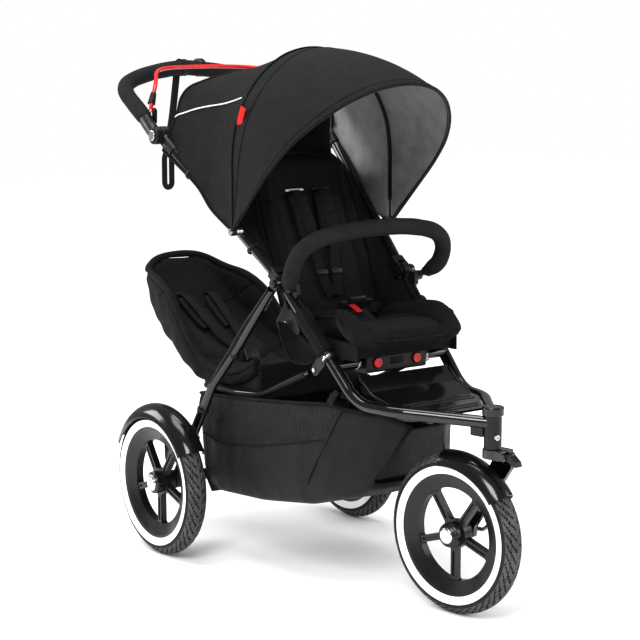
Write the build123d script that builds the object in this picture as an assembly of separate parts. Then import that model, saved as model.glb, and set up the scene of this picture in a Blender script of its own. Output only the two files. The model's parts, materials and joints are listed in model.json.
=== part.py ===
from build123d import *
import math
import os

# Three-wheel jogging stroller with a main seat and a second seat behind it.
# Millimetres, +Z up, origin on the floor under the middle of the rear axle.
# It drives towards -Y; its left side is +X, its right side -X.
# Paired parts are modelled on the left and mirrored.

os.makedirs("parts", exist_ok=True)

# ---------------------------------------------------------------- dimensions
# Names without X, Y or Z that hold two numbers are (y, z) places of cross axes.
RUN = 0.05                      # running clearance, radial
FIT = 0.02                      # clearance of a cut around a mating tube
WALL = 1.6                      # frame tube wall

TYRE_R = 158.75
TYRE_SECTION_R = 24.6
TYRE_MID_R = TYRE_R - TYRE_SECTION_R
TYRE_WALL = 4.0
RIM_R = 120.3                   # bead seat
RIM_INNER_R = 92.0              # where the spokes meet the rim
HUB_R = 24.0
HUB_HALF = 23.5
AXLE_R = 6.0
TRACK_HALF = 259.2
REAR_AXLE = (0, TYRE_R)
CENTRE = (0, 0)                 # wheel axis while a wheel is modelled at the origin

HEAD_Y = -783.0                 # steering axis
HEAD_Z0, HEAD_Z1 = 344.0, 407.0
HEAD_R = 17.0
STEM_R = 8.0
TRAIL = 90.0                    # front wheel axle behind the steering axis
CASTER_ANGLE = 7.84             # swivel of the front wheel at rest
WHEEL_Y = HEAD_Y + TRAIL
FRONT_AXLE = (WHEEL_Y, TYRE_R)
LOCK = (HEAD_Y - 36.0, 331.0)   # swivel lock pin
LOCK_PIN_R = 2.5
RELEASE_X = 57.0                # upright pin of the release lever
RELEASE_PIN_R = 2.5

HINGE_X = 155.0
HINGE = (-313.0, 620.0)         # main fold hinge
HINGE_PIN_R = 5.0
FRONT_R, UPPER_R, LEG_R = 12.0, 11.0, 9.5       # tube radii
CROSSBAR = (-470.0, 470.0)      # crossbar under the main seat
CROSSBAR_R = 10.5
LUG_BOLT = (-406, 453)
LUG_BOLT_R = 4.5
GUSSET_RIVET = (HINGE[0] + 8, HINGE[1] - 84)
GUSSET_RIVET_R = 3.5
BUMPER = (-352.0, 615.0)
BUMPER_PIN_R = 4.0
BUMPER_R = 8.0
CANOPY = (-208.0, 718.0)        # canopy pivot
CANOPY_PIN_R = 3.0
HANDLE = (45.0, 904.0)          # handle hinge
HANDLE_PIN_R = 4.5
HANDLE_R = 11.0
HANDLE_BUTTON_R = 11.5
HANDLE_SLOPE = math.radians(27.0)
BAIL = (90.0, 955.0)            # stop bail pivot
BAIL_R = 4.5
BAIL_PIN_R = 3.0
BACK = (-288.0, 498.0)          # recline axis of the main back
BACK_TILT = math.radians(23.7)

# Tube centre lines (x, y, z)
FRONT = [(HINGE_X, *HINGE), (135.0, -537.0, 402.0), (118.0, -625.0, 402.0), (6.0, -781.0, 393.5)]
UPPER = [(HINGE_X, *HINGE), (217.0, 26.0, 888.5)]
LEG = [(175.0, *HINGE), (181.0, -195.0, 482.0), (200.0, -117.0, 383.0), (220.0, -6.0, 170.0)]

SIDE = Plane(origin=(0, 0, 0), x_dir=(1, 0, 0), z_dir=(0, -1, 0))   # sketch axes (x, radius)


# ---------------------------------------------------------------- helpers
def save(node, *shapes):
    solids = [solid for shape in shapes for solid in shape.solids()]
    shape = solids[0] if len(solids) == 1 else Compound(solids)
    export_step(shape, "parts/" + node + ".step")


def mirrored(shape):
    return mirror(shape, about=Plane.YZ)


def save_pair(node, shape):
    """Both sides in one file."""
    save(node, shape, mirrored(shape))


def save_sides(node, shape):
    """One file for each side."""
    save(node + "_left", shape)
    save(node + "_right", mirrored(shape))


def largest(shape):
    return max(shape.solids(), key=lambda solid: solid.volume)


def bar(start, end, sketch):
    start, end = Vector(start), Vector(end)
    span = end - start
    return extrude(Plane(origin=start, z_dir=span.normalized()) * sketch, amount=span.length)


def rod(start, end, radius):
    return bar(start, end, Circle(radius))


def ring(start, end, outer, inner):
    return bar(start, end, Circle(outer) - Circle(inner))


def x_rod(x0, x1, at, radius):
    return rod((x0, *at), (x1, *at), radius)


def y_rod(x, y0, y1, z, radius):
    return rod((x, y0, z), (x, y1, z), radius)


def x_cone(x0, x1, radius0, radius1):
    start, end = Vector(x0, 0, 0), Vector(x1, 0, 0)
    base = Plane(origin=start, z_dir=(end - start).normalized())
    return loft([base * Circle(radius0), base.offset(abs(x1 - x0)) * Circle(radius1)])


def round_path(points, radii):
    """Polyline whose inner corners are rounded by the given radii."""
    points = [Vector(p) for p in points]
    edges, current = [], points[0]
    for before, corner, after, radius in zip(points, points[1:], points[2:], radii):
        back, ahead = (before - corner).normalized(), (after - corner).normalized()
        half_angle = math.acos(max(-1.0, min(1.0, back.dot(ahead)))) / 2
        setback = radius / math.tan(half_angle)
        bisector = (back + ahead).normalized()
        centre = corner + bisector * (radius / math.sin(half_angle))
        arc_start, arc_end = corner + back * setback, corner + ahead * setback
        edges.append(Edge.make_line(current, arc_start))
        edges.append(Edge.make_three_point_arc(arc_start, centre - bisector * radius, arc_end))
        current = arc_end
    edges.append(Edge.make_line(current, points[-1]))
    return Wire(edges)


def pipe(path, outer, inner=0.0):
    sketch = Circle(outer) - Circle(inner) if inner > 0 else Circle(outer)
    return sweep(Plane(origin=path @ 0, z_dir=path % 0) * sketch, path=path)


def polygon(points, corner_r):
    sketch = Polygon(*points, align=None)
    return fillet(sketch.vertices(), corner_r) if corner_r > 0 else sketch


def extrude_x(sketch, x0, x1):
    """Extrude a (y, z) sketch from x0 to x1."""
    plane = Plane(origin=(x0, 0, 0), x_dir=(0, 1, 0), z_dir=(1, 0, 0))
    return extrude(plane * sketch, amount=x1 - x0, dir=(1, 0, 0))


def plate_x(points, x0, x1, corner_r=0.0):
    return extrude_x(polygon(points, corner_r), x0, x1)


def plate_z(points, z0, z1, corner_r=0.0):
    plane = Plane.XY.offset(z0)
    return extrude(plane * polygon(points, corner_r), amount=z1 - z0, dir=(0, 0, 1))


def box(x0, x1, y0, y1, z0, z1):
    return Pos((x0 + x1) / 2, (y0 + y1) / 2, (z0 + z1) / 2) * Box(x1 - x0, y1 - y0, z1 - z0)


def shifted(at, points):
    return [(at[0] + y, at[1] + z) for y, z in points]


def in_frame(at, direction, points):
    """(y, z) of points given as (distance along the direction, distance across it)."""
    dy, dz = direction
    return [(at[0] + u * dy - v * dz, at[1] + u * dz + v * dy) for u, v in points]


def direction_yz(start, end):
    dy, dz = end[1] - start[1], end[2] - start[2]
    length = math.sqrt(dy ** 2 + dz ** 2)
    return dy / length, dz / length


def along(start, end, distance):
    start, end = Vector(start), Vector(end)
    return start + (end - start).normalized() * distance


def front_at(distance):
    """Point on the straight upper run of the left front tube, measured from the hinge."""
    return along(FRONT[0], FRONT[1], distance)


def upper_at(distance):
    return along(UPPER[0], UPPER[1], distance)


def front_ring(d0, d1, outer, inner=0.001):
    """Ring on the front tube; the default bore leaves only a hair, for wide cuts."""
    return ring(front_at(d0), front_at(d1), outer, inner)


def both_halves(half, middle):
    """Left half of a symmetric 3D line, its middle point, then the right half."""
    return half + [middle] + [(-x, y, z) for x, y, z in reversed(half)]


def symmetric_plan(half):
    return half + [(-x, y) for x, y in reversed(half)]


def crossed(side, plan, half_width, z0, z1):
    """Solid with the given side (y, z) and plan (x, y) outlines."""
    return plate_x(side, -half_width, half_width) & plate_z(plan, z0, z1)


# ---------------------------------------------------------------- shared paths and cutters
FRONT_PATH = round_path(FRONT, [95, 110])
FRONT_CUT = pipe(FRONT_PATH, FRONT_R + FIT)
HEAD_CUT = Pos(0, HEAD_Y, 380) * Cylinder(HEAD_R + FIT, 200)
UPPER_CUT = rod(upper_at(30), UPPER[1], UPPER_R + FIT)
UPPER_LENGTH = (Vector(UPPER[1]) - Vector(UPPER[0])).length
FRONT_DIR = direction_yz(*FRONT[:2])
UPPER_DIR = direction_yz(*UPPER)


# ---------------------------------------------------------------- wheels, about X at the origin
def tyre():
    centre = Pos(0, TYRE_MID_R)
    profile = centre * Circle(TYRE_SECTION_R) - centre * Circle(TYRE_SECTION_R - TYRE_WALL)
    profile = profile - Pos(0, RIM_R / 2) * Rectangle(90, RIM_R + 0.2)
    return revolve(SIDE * profile, axis=Axis.X, revolution_arc=360)


def wheel_body(cap_side):
    """Rim, five spokes and hub; the hub is recessed on the cap side (-1 or 1)."""
    rim_profile = Polygon(                              # (x, radius)
        (-20.2, RIM_R), (-19.4, 116.5), (-8.5, RIM_INNER_R), (8.5, RIM_INNER_R), (19.4, 116.5),
        (20.2, RIM_R), (15.2, RIM_R), (5.8, 97.5), (-5.8, 97.5), (-15.2, RIM_R), align=None)
    rim = revolve(SIDE * rim_profile, axis=Axis.X, revolution_arc=360)
    spoke_angles = [-90 + 72 * k for k in range(5)]
    windows = Circle(RIM_INNER_R + 0.6) - Circle(29)
    for angle in spoke_angles:
        windows -= Rot(0, 0, angle) * Pos(61, 0) * Rectangle(82, 14)
    windows = fillet(windows.vertices(), 6)
    spokes = extrude_x(Circle(RIM_INNER_R + 1.0) - windows, -7, 7)
    grooves = []
    for angle in spoke_angles:
        slot = Rot(0, 0, angle) * Pos(60, 0) * SlotOverall(52, 5)
        grooves += [extrude_x(slot, 4.2, 8.2), extrude_x(slot, -8.2, -4.2)]
    hub = x_rod(-HUB_HALF, HUB_HALF, CENTRE, HUB_R)
    hub = chamfer(hub.edges(), 2.0)
    body = rim + spokes + hub
    body = body - grooves
    body = body - x_rod(-60, 60, CENTRE, AXLE_R + RUN)
    return body - x_rod(cap_side * (HUB_HALF - 4.5), cap_side * HUB_HALF, CENTRE, 17.7)


def mudguard(start_deg, end_deg, outer, inner, centre_r, half_deg=84.0):
    """Section arc swept about the wheel axis between two angles measured from +Y."""
    angles = [math.radians(90 - half_deg + 2 * half_deg * k / 12) for k in range(13)]
    outside, inside = [[(r * math.cos(t), centre_r + r * math.sin(t)) for t in angles]
                       for r in (outer, inner)]
    outline = Polyline(outside[0], inside[0]) + Spline(*inside)
    outline = outline + Polyline(inside[-1], outside[-1]) + Spline(*outside)
    base = Rot(start_deg - 90, 0, 0) * (SIDE * make_face(outline))
    return revolve(base, axis=Axis.X, revolution_arc=end_deg - start_deg)


for s, side in ((-1, "right"), (1, "left")):
    at_wheel = Pos(s * TRACK_HALF, 0, TYRE_R)
    save("rear_tyre_" + side, at_wheel * tyre())
    save("rear_wheel_" + side, at_wheel * wheel_body(s))
    cap = x_rod(s * 19.2, s * 26.5, CENTRE, 17.5) + x_cone(s * 26.5, s * 29.5, 15.5, 13.0)
    save("rear_hub_cap_" + side, at_wheel * cap)

# ---------------------------------------------------------------- rear axle and legs
LEG_PATH = round_path(LEG, [60, 90])


def rear_leg():
    """Tube with an eye on the fold hinge."""
    leg = pipe(LEG_PATH, LEG_R, LEG_R - WALL) - x_rod(160, 190, HINGE, 18.0)
    eye = x_rod(171, 179, HINGE, 14.0)
    web = plate_x(shifted(HINGE, [(13.2, -1.9), (-0.2, -13.3), (10.2, -25.5), (23.6, -14.1)]),
                  171.5, 178.5)
    leg = (leg + eye + web) - x_rod(160, 190, HINGE, HINGE_PIN_R + RUN)
    return leg - x_rod(190, 250, REAR_AXLE, AXLE_R + 9)


def axle_housing():
    """Housing with a socket for the leg and a flanged stub axle."""
    housing = x_rod(206, 231, REAR_AXLE, 20.0)
    housing = chamfer(housing.edges(), 2.5)
    socket = rod((210.5, -56, 262), (219.5, -8, 172), 13.5)
    housing = housing + socket - pipe(LEG_PATH, LEG_R) - x_rod(200, 240, REAR_AXLE, AXLE_R)
    stub = x_rod(205.2, 277.5, REAR_AXLE, AXLE_R) + x_rod(205.0, 206.2, REAR_AXLE, 12.0)
    return housing - x_rod(204.9, 206.25, REAR_AXLE, 12.1) + stub


def rear_mudguard():
    guard = Pos(TRACK_HALF, 0, TYRE_R) * mudguard(27, 147, 33.0, 30.6, 138.0)
    stay = plate_x(shifted(REAR_AXLE, [(8, 21.5), (19, 12), (34, 40), (42, 138), (16, 142)]),
                   226.4, 229.6)
    return guard + stay


save_sides("rear_leg", rear_leg())
save_pair("axle_housings", axle_housing())
save("rear_axle_tube", x_rod(-204, 204, REAR_AXLE, 12.5) - x_rod(-203, 203, REAR_AXLE, 10.6))
save_sides("mudguard", rear_mudguard())


# ---------------------------------------------------------------- front wheel and caster
# Modelled pointing straight ahead, then swivelled about the steering axis.
def swivel(shape):
    return Pos(0, HEAD_Y, 0) * Rot(0, 0, CASTER_ANGLE) * Pos(0, -HEAD_Y, 0) * shape


def caster_fork():
    """One-armed fork with its stem, and ears holding the swivel lock pin."""
    arm = plate_x([(HEAD_Y - 20, 331), (HEAD_Y + 20, 331), (HEAD_Y + 26, 318),
                   (WHEEL_Y + 16, TYRE_R + 6), (WHEEL_Y + 14, TYRE_R - 12),
                   (WHEEL_Y, TYRE_R - 17), (WHEEL_Y - 14, TYRE_R - 12),
                   (WHEEL_Y - 16, TYRE_R + 8), (HEAD_Y - 16, 300)], 34.6, 45.0, 5)
    crown = Pos(0, HEAD_Y, 334) * Cylinder(19.5, 17)
    bridge = box(0, 44.9, HEAD_Y - 14, HEAD_Y + 14, 320, 337)
    nose = plate_x(shifted((HEAD_Y, 0), [(-30, 326), (12, 326), (12, 342), (-26, 342)]),
                   -12, 12, 4)
    fork = crown + bridge + arm + nose
    fender_space = at_front_wheel * revolve(SIDE * (Pos(0, TYRE_MID_R) * Circle(33.0)),
                                            axis=Axis.X, revolution_arc=360)
    fork = fork - fender_space - x_rod(20, 60, FRONT_AXLE, AXLE_R + FIT)
    stem_z0, stem_z1 = 322, 400
    stem = Pos(0, HEAD_Y, (stem_z0 + stem_z1) / 2) * Cylinder(STEM_R, stem_z1 - stem_z0)
    ear = plate_x(shifted(LOCK, [(12, -5), (12, 10), (-1, 6), (-6, 0), (-1, -6)]), 9.8, 13.0)
    lock_pin = x_rod(-13, 13, LOCK, LOCK_PIN_R)
    return largest((fork + stem + ear + mirrored(ear) + lock_pin) - fender_space)


def lock_lever():
    thumb = plate_x(shifted(LOCK, [(-4, -3), (1, 4), (-14, 6), (-27, -4), (-30, -13), (-25, -13)]),
                    -9, 9)
    return x_rod(-9, 9, LOCK, 5.5) + thumb - x_rod(-20, 20, LOCK, LOCK_PIN_R + RUN)


def release_pin(half_height, radius):
    return rod((RELEASE_X, WHEEL_Y, TYRE_R - half_height),
               (RELEASE_X, WHEEL_Y, TYRE_R + half_height), radius)


def front_axle():
    """Axle, spacer, and a forked nut carrying the release pin."""
    nut = x_rod(45.3, 50.4, FRONT_AXLE, 9.5)
    for z0, z1 in ((-9.5, -6.4), (6.4, 9.5)):
        nut = nut + box(50.0, 60.0, WHEEL_Y - 5, WHEEL_Y + 5, TYRE_R + z0, TYRE_R + z1)
    nut = nut + release_pin(9.0, RELEASE_PIN_R)
    return x_rod(-17.5, 50.0, FRONT_AXLE, AXLE_R) + x_rod(25.0, 34.2, FRONT_AXLE, 10.0) + nut


def release_lever():
    path = round_path([(RELEASE_X, WHEEL_Y - 2, TYRE_R), (RELEASE_X, WHEEL_Y - 20, TYRE_R),
                       (RELEASE_X, WHEEL_Y - 52, TYRE_R + 26)], [12])
    return pipe(path, 4.0) + release_pin(6, 5.0) - release_pin(20, RELEASE_PIN_R + RUN)


at_front_wheel = Pos(0, WHEEL_Y, TYRE_R)
front_cap = x_rod(-19.0, -26.0, CENTRE, 22.0) + x_cone(-26.0, -30.0, 22.0, 18.0)
save("front_tyre", swivel(at_front_wheel * tyre()))
save("front_wheel", swivel(at_front_wheel * (wheel_body(-1) + front_cap)))
save("front_fender", swivel(at_front_wheel * mudguard(80, 143, 32.0, 29.4, TYRE_MID_R)))
save("caster_fork", swivel(caster_fork()))
save("swivel_lock_lever", swivel(lock_lever()))
save("front_axle", swivel(front_axle()))
save("release_lever", swivel(release_lever()))


# ---------------------------------------------------------------- head and front tubes
def head_tube():
    """Tube with a block behind it that receives the two front tubes."""
    bore = Pos(0, HEAD_Y, 370) * Cylinder(STEM_R + RUN, 62)
    head = Pos(0, HEAD_Y, (HEAD_Z0 + HEAD_Z1) / 2) * Cylinder(HEAD_R, HEAD_Z1 - HEAD_Z0)
    head = head - bore
    block = plate_x([(-733, 362), (-769, 364), (-769, 381), (-733, 381)], -13, 13, 3) - HEAD_CUT
    block = largest(block - FRONT_CUT - mirrored(FRONT_CUT))
    neck = plate_x([(-760, 364.5), (-769, 364.5), (-769, 380), (-760, 380)], -9, 9)
    return head + neck - bore + block


def front_tube():
    tube = pipe(FRONT_PATH, FRONT_R, FRONT_R - WALL) - HEAD_CUT - x_rod(120, 190, HINGE, 24.0)
    return tube - box(-60, 0.4, -900, -600, 300, 500)


def seat_crossbar():
    tube = x_rod(-142, 142, CROSSBAR, CROSSBAR_R) - x_rod(-141, 141, CROSSBAR, CROSSBAR_R - WALL)
    return largest(tube - FRONT_CUT - mirrored(FRONT_CUT))


head_cap = Pos(0, HEAD_Y, HEAD_Z1 + 9.1) * Cylinder(21.0, 18.0)
save("head_cap", fillet(head_cap.edges(), 3.0))
save_sides("front_tube", front_tube())
save("head_tube", head_tube())
save("seat_crossbar", seat_crossbar())

# ---------------------------------------------------------------- latch box on the crossbar
BAR_Y, BAR_Z = CROSSBAR
LATCH_FRONT_Y = BAR_Y - 20
LATCH_BUTTON_Z = BAR_Z + 1
LATCH_BUTTON_R = 9.5
LATCH_BUTTONS = ((-50, "right"), (50, "left"))      # x, side
KNOB_X = -66


def latch_box():
    case = box(-76, 76, LATCH_FRONT_Y, BAR_Y + 20, BAR_Z - 20, BAR_Z + 18)
    case = fillet(case.edges().filter_by(Axis.X), 7)
    case = case - x_rod(-90, 90, CROSSBAR, CROSSBAR_R + 0.05)
    for x, _ in LATCH_BUTTONS:
        case = case - y_rod(x, LATCH_FRONT_Y + 9.2, LATCH_FRONT_Y - 5, LATCH_BUTTON_Z,
                            LATCH_BUTTON_R + RUN)
    knob = y_rod(KNOB_X, BAR_Y + 6, BAR_Y - 10, BAR_Z - 31.5, 9.5)
    neck = rod((KNOB_X, BAR_Y - 2, BAR_Z - 23.5), (KNOB_X, BAR_Y - 2, BAR_Z - 18.0), 4.0)
    return case + fillet(knob.edges(), 2.0) + neck


for x, side in LATCH_BUTTONS:
    button = y_rod(x, LATCH_FRONT_Y + 5.0, LATCH_FRONT_Y - 4.5, LATCH_BUTTON_Z, LATCH_BUTTON_R)
    dimple = y_rod(x, LATCH_FRONT_Y - 3.6, LATCH_FRONT_Y - 6, LATCH_BUTTON_Z, 5.5)
    save("latch_button_" + side, button - dimple)
save("latch_box", latch_box())


# ---------------------------------------------------------------- fittings on the front tubes
def fold_hinge():
    """Fixed disc with a tongue into the front tube, and the hinge pin with its heads."""
    tongue = plate_x(in_frame(HINGE, FRONT_DIR, [(0, 10), (0, -10), (36, -9), (36, 9)]),
                     148.3, 158.5)
    tube_wall = FRONT_CUT - pipe(FRONT_PATH, FRONT_R - WALL - 0.05)
    disc = x_rod(148, 162, HINGE, 18.5)
    fixed = largest(disc + tongue - tube_wall - x_rod(140, 180, HINGE, HINGE_PIN_R))
    pin = x_rod(138.5, 182.5, HINGE, HINGE_PIN_R)
    pin = pin + x_rod(179.6, 183.5, HINGE, 9.0) + x_rod(136.8, 140.4, HINGE, 8.0)
    return fixed + pin


def seat_lug():
    """Collar on the front tube with a plate reaching back from it."""
    collar = front_ring(186, 203, 14.6, FRONT_R + 0.05)
    lug = plate_x([(-452, 478), (-434, 497), (-402, 466), (-394, 452), (-400, 443), (-412, 441)],
                  140.5, 144.5, 5)
    lug = lug - front_ring(60, 185.5, 18.4) - rod(front_at(60), front_at(245), FRONT_R + 0.05)
    return largest(collar + lug - x_rod(130, 150, LUG_BOLT, LUG_BOLT_R))


def hinge_gusset():
    outline = shifted(HINGE, [(4, -33), (44, -84), (38, -98), (-36, -104), (-41, -92)])
    plate = plate_x(outline, 140.0, 143.0, 6) - front_ring(10, 245, 19.0)
    return largest(plate - x_rod(130, 160, GUSSET_RIVET, GUSSET_RIVET_R))


def head_screw():
    """Screw head with a round socket, on the front of the head tube."""
    x, z = -5.8, 368
    head = y_rod(x, HEAD_Y - 17.05, HEAD_Y - 20.5, z, 5.5)
    return head - y_rod(x, HEAD_Y - 19.0, HEAD_Y - 21.5, z, 2.5) - HEAD_CUT


save_pair("fold_hinges", fold_hinge())
save_pair("tube_sleeves", front_ring(76, 184, 18.0, FRONT_R + 0.3))
save_pair("seat_lugs", seat_lug())
save_pair("hinge_gussets", hinge_gusset())
lug_bolt = x_rod(139.0, 147.5, LUG_BOLT, LUG_BOLT_R)
rivet = x_rod(138.5, 145.2, GUSSET_RIVET, GUSSET_RIVET_R)
save("frame_rivets", lug_bolt, mirrored(lug_bolt), rivet, mirrored(rivet), head_screw())


# ---------------------------------------------------------------- footplate between the front tubes
def footplate():
    side_outline = [(-512, 452), (-548, 426), (-600, 408.5), (-735, 408.5),
                    (-735, 404), (-601, 404), (-552, 421), (-515, 446)]
    plan = symmetric_plan([(112, -505), (116, -560), (98, -628), (30, -722)])
    pan = plate_x(side_outline, -140, 140) & plate_z(plan, 380, 480, 8)
    lip = pipe(round_path([(112, -518, 446), (112.5, -553, 421), (101, -604, 403.6),
                           (36, -716, 403.6)], [50, 60]), 4.0)
    pan = pan + lip + mirrored(lip)
    pan = pan - Pos(0, -662, 405) * Cylinder(8, 30)
    pan = largest(pan - FRONT_CUT - mirrored(FRONT_CUT))
    # A wider cut leaves a visible gap around the tubes.
    gap = 0.6
    tube_gap = pipe(FRONT_PATH, FRONT_R + gap)
    pan = pan - tube_gap - mirrored(tube_gap)
    return largest(pan - Pos(0, HEAD_Y, 380) * Cylinder(HEAD_R + gap, 200))


save("footplate", footplate())

# ---------------------------------------------------------------- bumper bar
BUMPER_HALF = [(181, -372, 628), (190, -390, 645), (191, -403, 672), (179, -412, 697),
               (150, -420, 716), (100, -427, 728), (50, -431, 733)]
BUMPER_PATH = Spline(*both_halves(BUMPER_HALF, (0, -432, 734)))


def bumper_mount():
    mount = plate_x([(-341, 604), (-343, 624), (-362, 623), (-364, 600), (-352, 588)],
                    148.5, 157.5, 3)
    mount = mount - front_ring(10, 120, FRONT_R + 0.05) - x_rod(140, 180, HINGE, 19.2)
    return largest(mount) + x_rod(150.5, 173.5, BUMPER, BUMPER_PIN_R)


def bumper_connector():
    """Disc on the mount pin joined to a cup under the end of the bar."""
    heading = BUMPER_PATH % 0
    cup_end = BUMPER_PATH @ 0 - heading * 0.3
    mouth = Plane(origin=cup_end, z_dir=heading * -1)
    connector = x_rod(159.2, 171.2, BUMPER, 10.0)
    connector = connector + loft([mouth * Circle(13.5), mouth.offset(14) * Circle(9.0)])
    connector = connector + rod((166, *BUMPER), cup_end - heading * 13, 6.5)
    connector = connector - x_rod(140, 190, BUMPER, BUMPER_PIN_R + RUN)
    return connector - x_rod(120, 159.1, BUMPER, 40) - FRONT_CUT


save_pair("bumper_mounts", bumper_mount())
save("bumper_core", pipe(BUMPER_PATH, BUMPER_R, BUMPER_R - WALL))
save("bumper_foam", pipe(BUMPER_PATH, 17.0, BUMPER_R + 0.1))
save_pair("bumper_connectors", bumper_connector())


# ---------------------------------------------------------------- upper frame
def fold_knuckle():
    """Two ears around the fixed hinge disc, and a block with a plug into the upper tube."""
    ear = in_frame(HINGE, UPPER_DIR, [(0, 15), (0, -15), (26, -12), (26, 12)])
    block = in_frame(HINGE, UPPER_DIR, [(20, -12.5), (20, 12.5), (35, 12.5), (35, -12.5)])
    knuckle = x_rod(141, 147, HINGE, 15.0) + x_rod(163, 169, HINGE, 15.0)
    knuckle = knuckle + plate_x(ear, 141, 147) + plate_x(ear, 163, 169) + plate_x(block, 141, 169)
    knuckle = knuckle + rod(upper_at(34), upper_at(48), UPPER_R - 1.7)
    knuckle = knuckle - ring(upper_at(35.9), UPPER[1], UPPER_R + 0.05, UPPER_R - 1.65)
    return knuckle - x_rod(130, 190, HINGE, HINGE_PIN_R + RUN) - x_rod(147.0, 163.0, HINGE, 19.4)


def handle_housing():
    """Disc with a socket on the upper tube, and the handle hinge pin."""
    housing = x_rod(208, 226.4, HANDLE, 19.0)
    housing = fillet(housing.edges(), 2.0)
    housing = housing + rod(upper_at(UPPER_LENGTH - 30), upper_at(UPPER_LENGTH + 12), 14.0)
    housing = housing - rod(upper_at(200), UPPER[1], UPPER_R + 0.05)
    housing = housing - x_rod(226.4, 270, HANDLE, 60) - x_rod(200, 270, HANDLE, HANDLE_PIN_R)
    return housing + x_rod(206.5, 235.0, HANDLE, HANDLE_PIN_R)


def canopy_pin():
    pin = largest(x_rod(189.4, 213.0, CANOPY, CANOPY_PIN_R) - UPPER_CUT)
    pin = pin + x_rod(212.2, 214.5, CANOPY, 7.0)
    return largest(x_rod(186, 200.8, CANOPY, 7.0) - UPPER_CUT) + pin


save_pair("fold_knuckles", fold_knuckle())
save_sides("upper_tube", ring(upper_at(36), UPPER[1], UPPER_R, UPPER_R - WALL))
save_pair("handle_housings", handle_housing())
save_pair("canopy_pins", canopy_pin())


# ---------------------------------------------------------------- canopy
# Bows and fabric bands stand in planes through the pivot axis. A tilt in degrees is
# measured from upright, positive towards the front.
def arch_points(width, top, low, tilt):
    """Arch of half width `width`, reaching from radius `low` up to `top`."""
    half = [(width, low), (width, top * 0.27), (width - 0.5, top * 0.42),     # (x, radius)
            (width * 0.955, top * 0.575), (width * 0.86, top * 0.70), (width * 0.735, top * 0.80),
            (width * 0.58, top * 0.885), (width * 0.38, top * 0.955), (width * 0.18, top * 0.99)]
    angle = math.radians(tilt)
    points = [(x, CANOPY[0] - r * math.sin(angle), CANOPY[1] + r * math.cos(angle))
              for x, r in half + [(0, top)]]
    return both_halves(points[:-1], points[-1])


def band(width, top, low, tilt, thickness=1.5):
    outside = arch_points(width + thickness, top + thickness, low, tilt)
    inside = arch_points(width, top, low, tilt)
    outer, inner = Spline(*outside), Spline(*inside)
    start, end = Line(outside[0], inside[0]), Line(inside[-1], outside[-1])
    return Face(Wire([outer.edge(), end.edge(), inner.edge(), start.edge()]))


def panel(width, first, last, count=3):
    """Fabric lofted over bands between two (top, low, tilt) stations."""
    fractions = [k / (count - 1) for k in range(count)]
    return loft([band(width, *(a + (b - a) * f for a, b in zip(first, last))) for f in fractions])


def rear_panel():
    fabric = panel(199.5, (364.0, 60, -1.0), (364.0, 60, -46.0), 4)
    fabric = fabric - box(-260, 260, -4, 200, 600, 1200)
    for s in (-1, 1):
        fabric = fabric - rod((s * HINGE_X, *HINGE), (s * 226, 60, 916), 17.0)
    return largest(fabric)


def rear_bow():
    half = [(205.0, 12, 931), (203, 2, 955), (198, -3, 982), (180, -6, 1002), (150, -8, 1014),
            (105, -10, 1026), (55, -11, 1035)]
    bow = pipe(Spline(*both_halves(half, (0, -12, 1038))), 3.0)
    foot = box(201.8, 207.4, 4, 22, 906, 934) - x_rod(190, 230, HANDLE, 4.6)
    return bow + foot + mirrored(foot)


def pivoted_bow(arch, radius, disc_x0, disc_x1):
    bow = pipe(Spline(*arch_points(*arch)), radius)
    disc = x_rod(disc_x0, disc_x1, CANOPY, 8.0)
    return bow + disc + mirrored(disc) - x_rod(-230, 230, CANOPY, CANOPY_PIN_R + RUN)


save("canopy_rear_panel", rear_panel())
save("canopy_mid_panel", panel(203.0, (368.5, 84, 1.3), (399.0, 84, 22.5)))
save("canopy_visor_panel", panel(207.2, (404.0, 66, 22.0), (434.0, 92, 44.2)))
save("canopy_rear_bow", rear_bow())
save("canopy_mid_bow", pivoted_bow((204.0, 369.5, 7.0, -0.6), 2.0, 201.4, 205.8))
save("canopy_visor_bow", pivoted_bow((209.0, 436.0, 6.0, 45.9), 2.2, 206.6, 211.2))


# ---------------------------------------------------------------- handlebar
def handle_point(x, distance):
    """Point in the sloping handle plane, at a distance behind the handle hinge."""
    return (x, HANDLE[0] + distance * math.cos(HANDLE_SLOPE),
            HANDLE[1] + distance * math.sin(HANDLE_SLOPE))


HANDLE_HALF = [handle_point(x, distance) for x, distance in (
    (230.0, 30), (222.0, 74.0), (215.5, 135.0), (209.5, 182.0), (194.0, 217.0),
    (160.0, 245.0), (110.0, 269.0), (58.0, 287.0))]
HANDLE_PATH = Spline(*both_halves(HANDLE_HALF, handle_point(0, 298.0)))
GRIP_INSET = 36.0 / HANDLE_PATH.length
GRIP_PATH = HANDLE_PATH.edge().trim(GRIP_INSET, 1 - GRIP_INSET)


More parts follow.
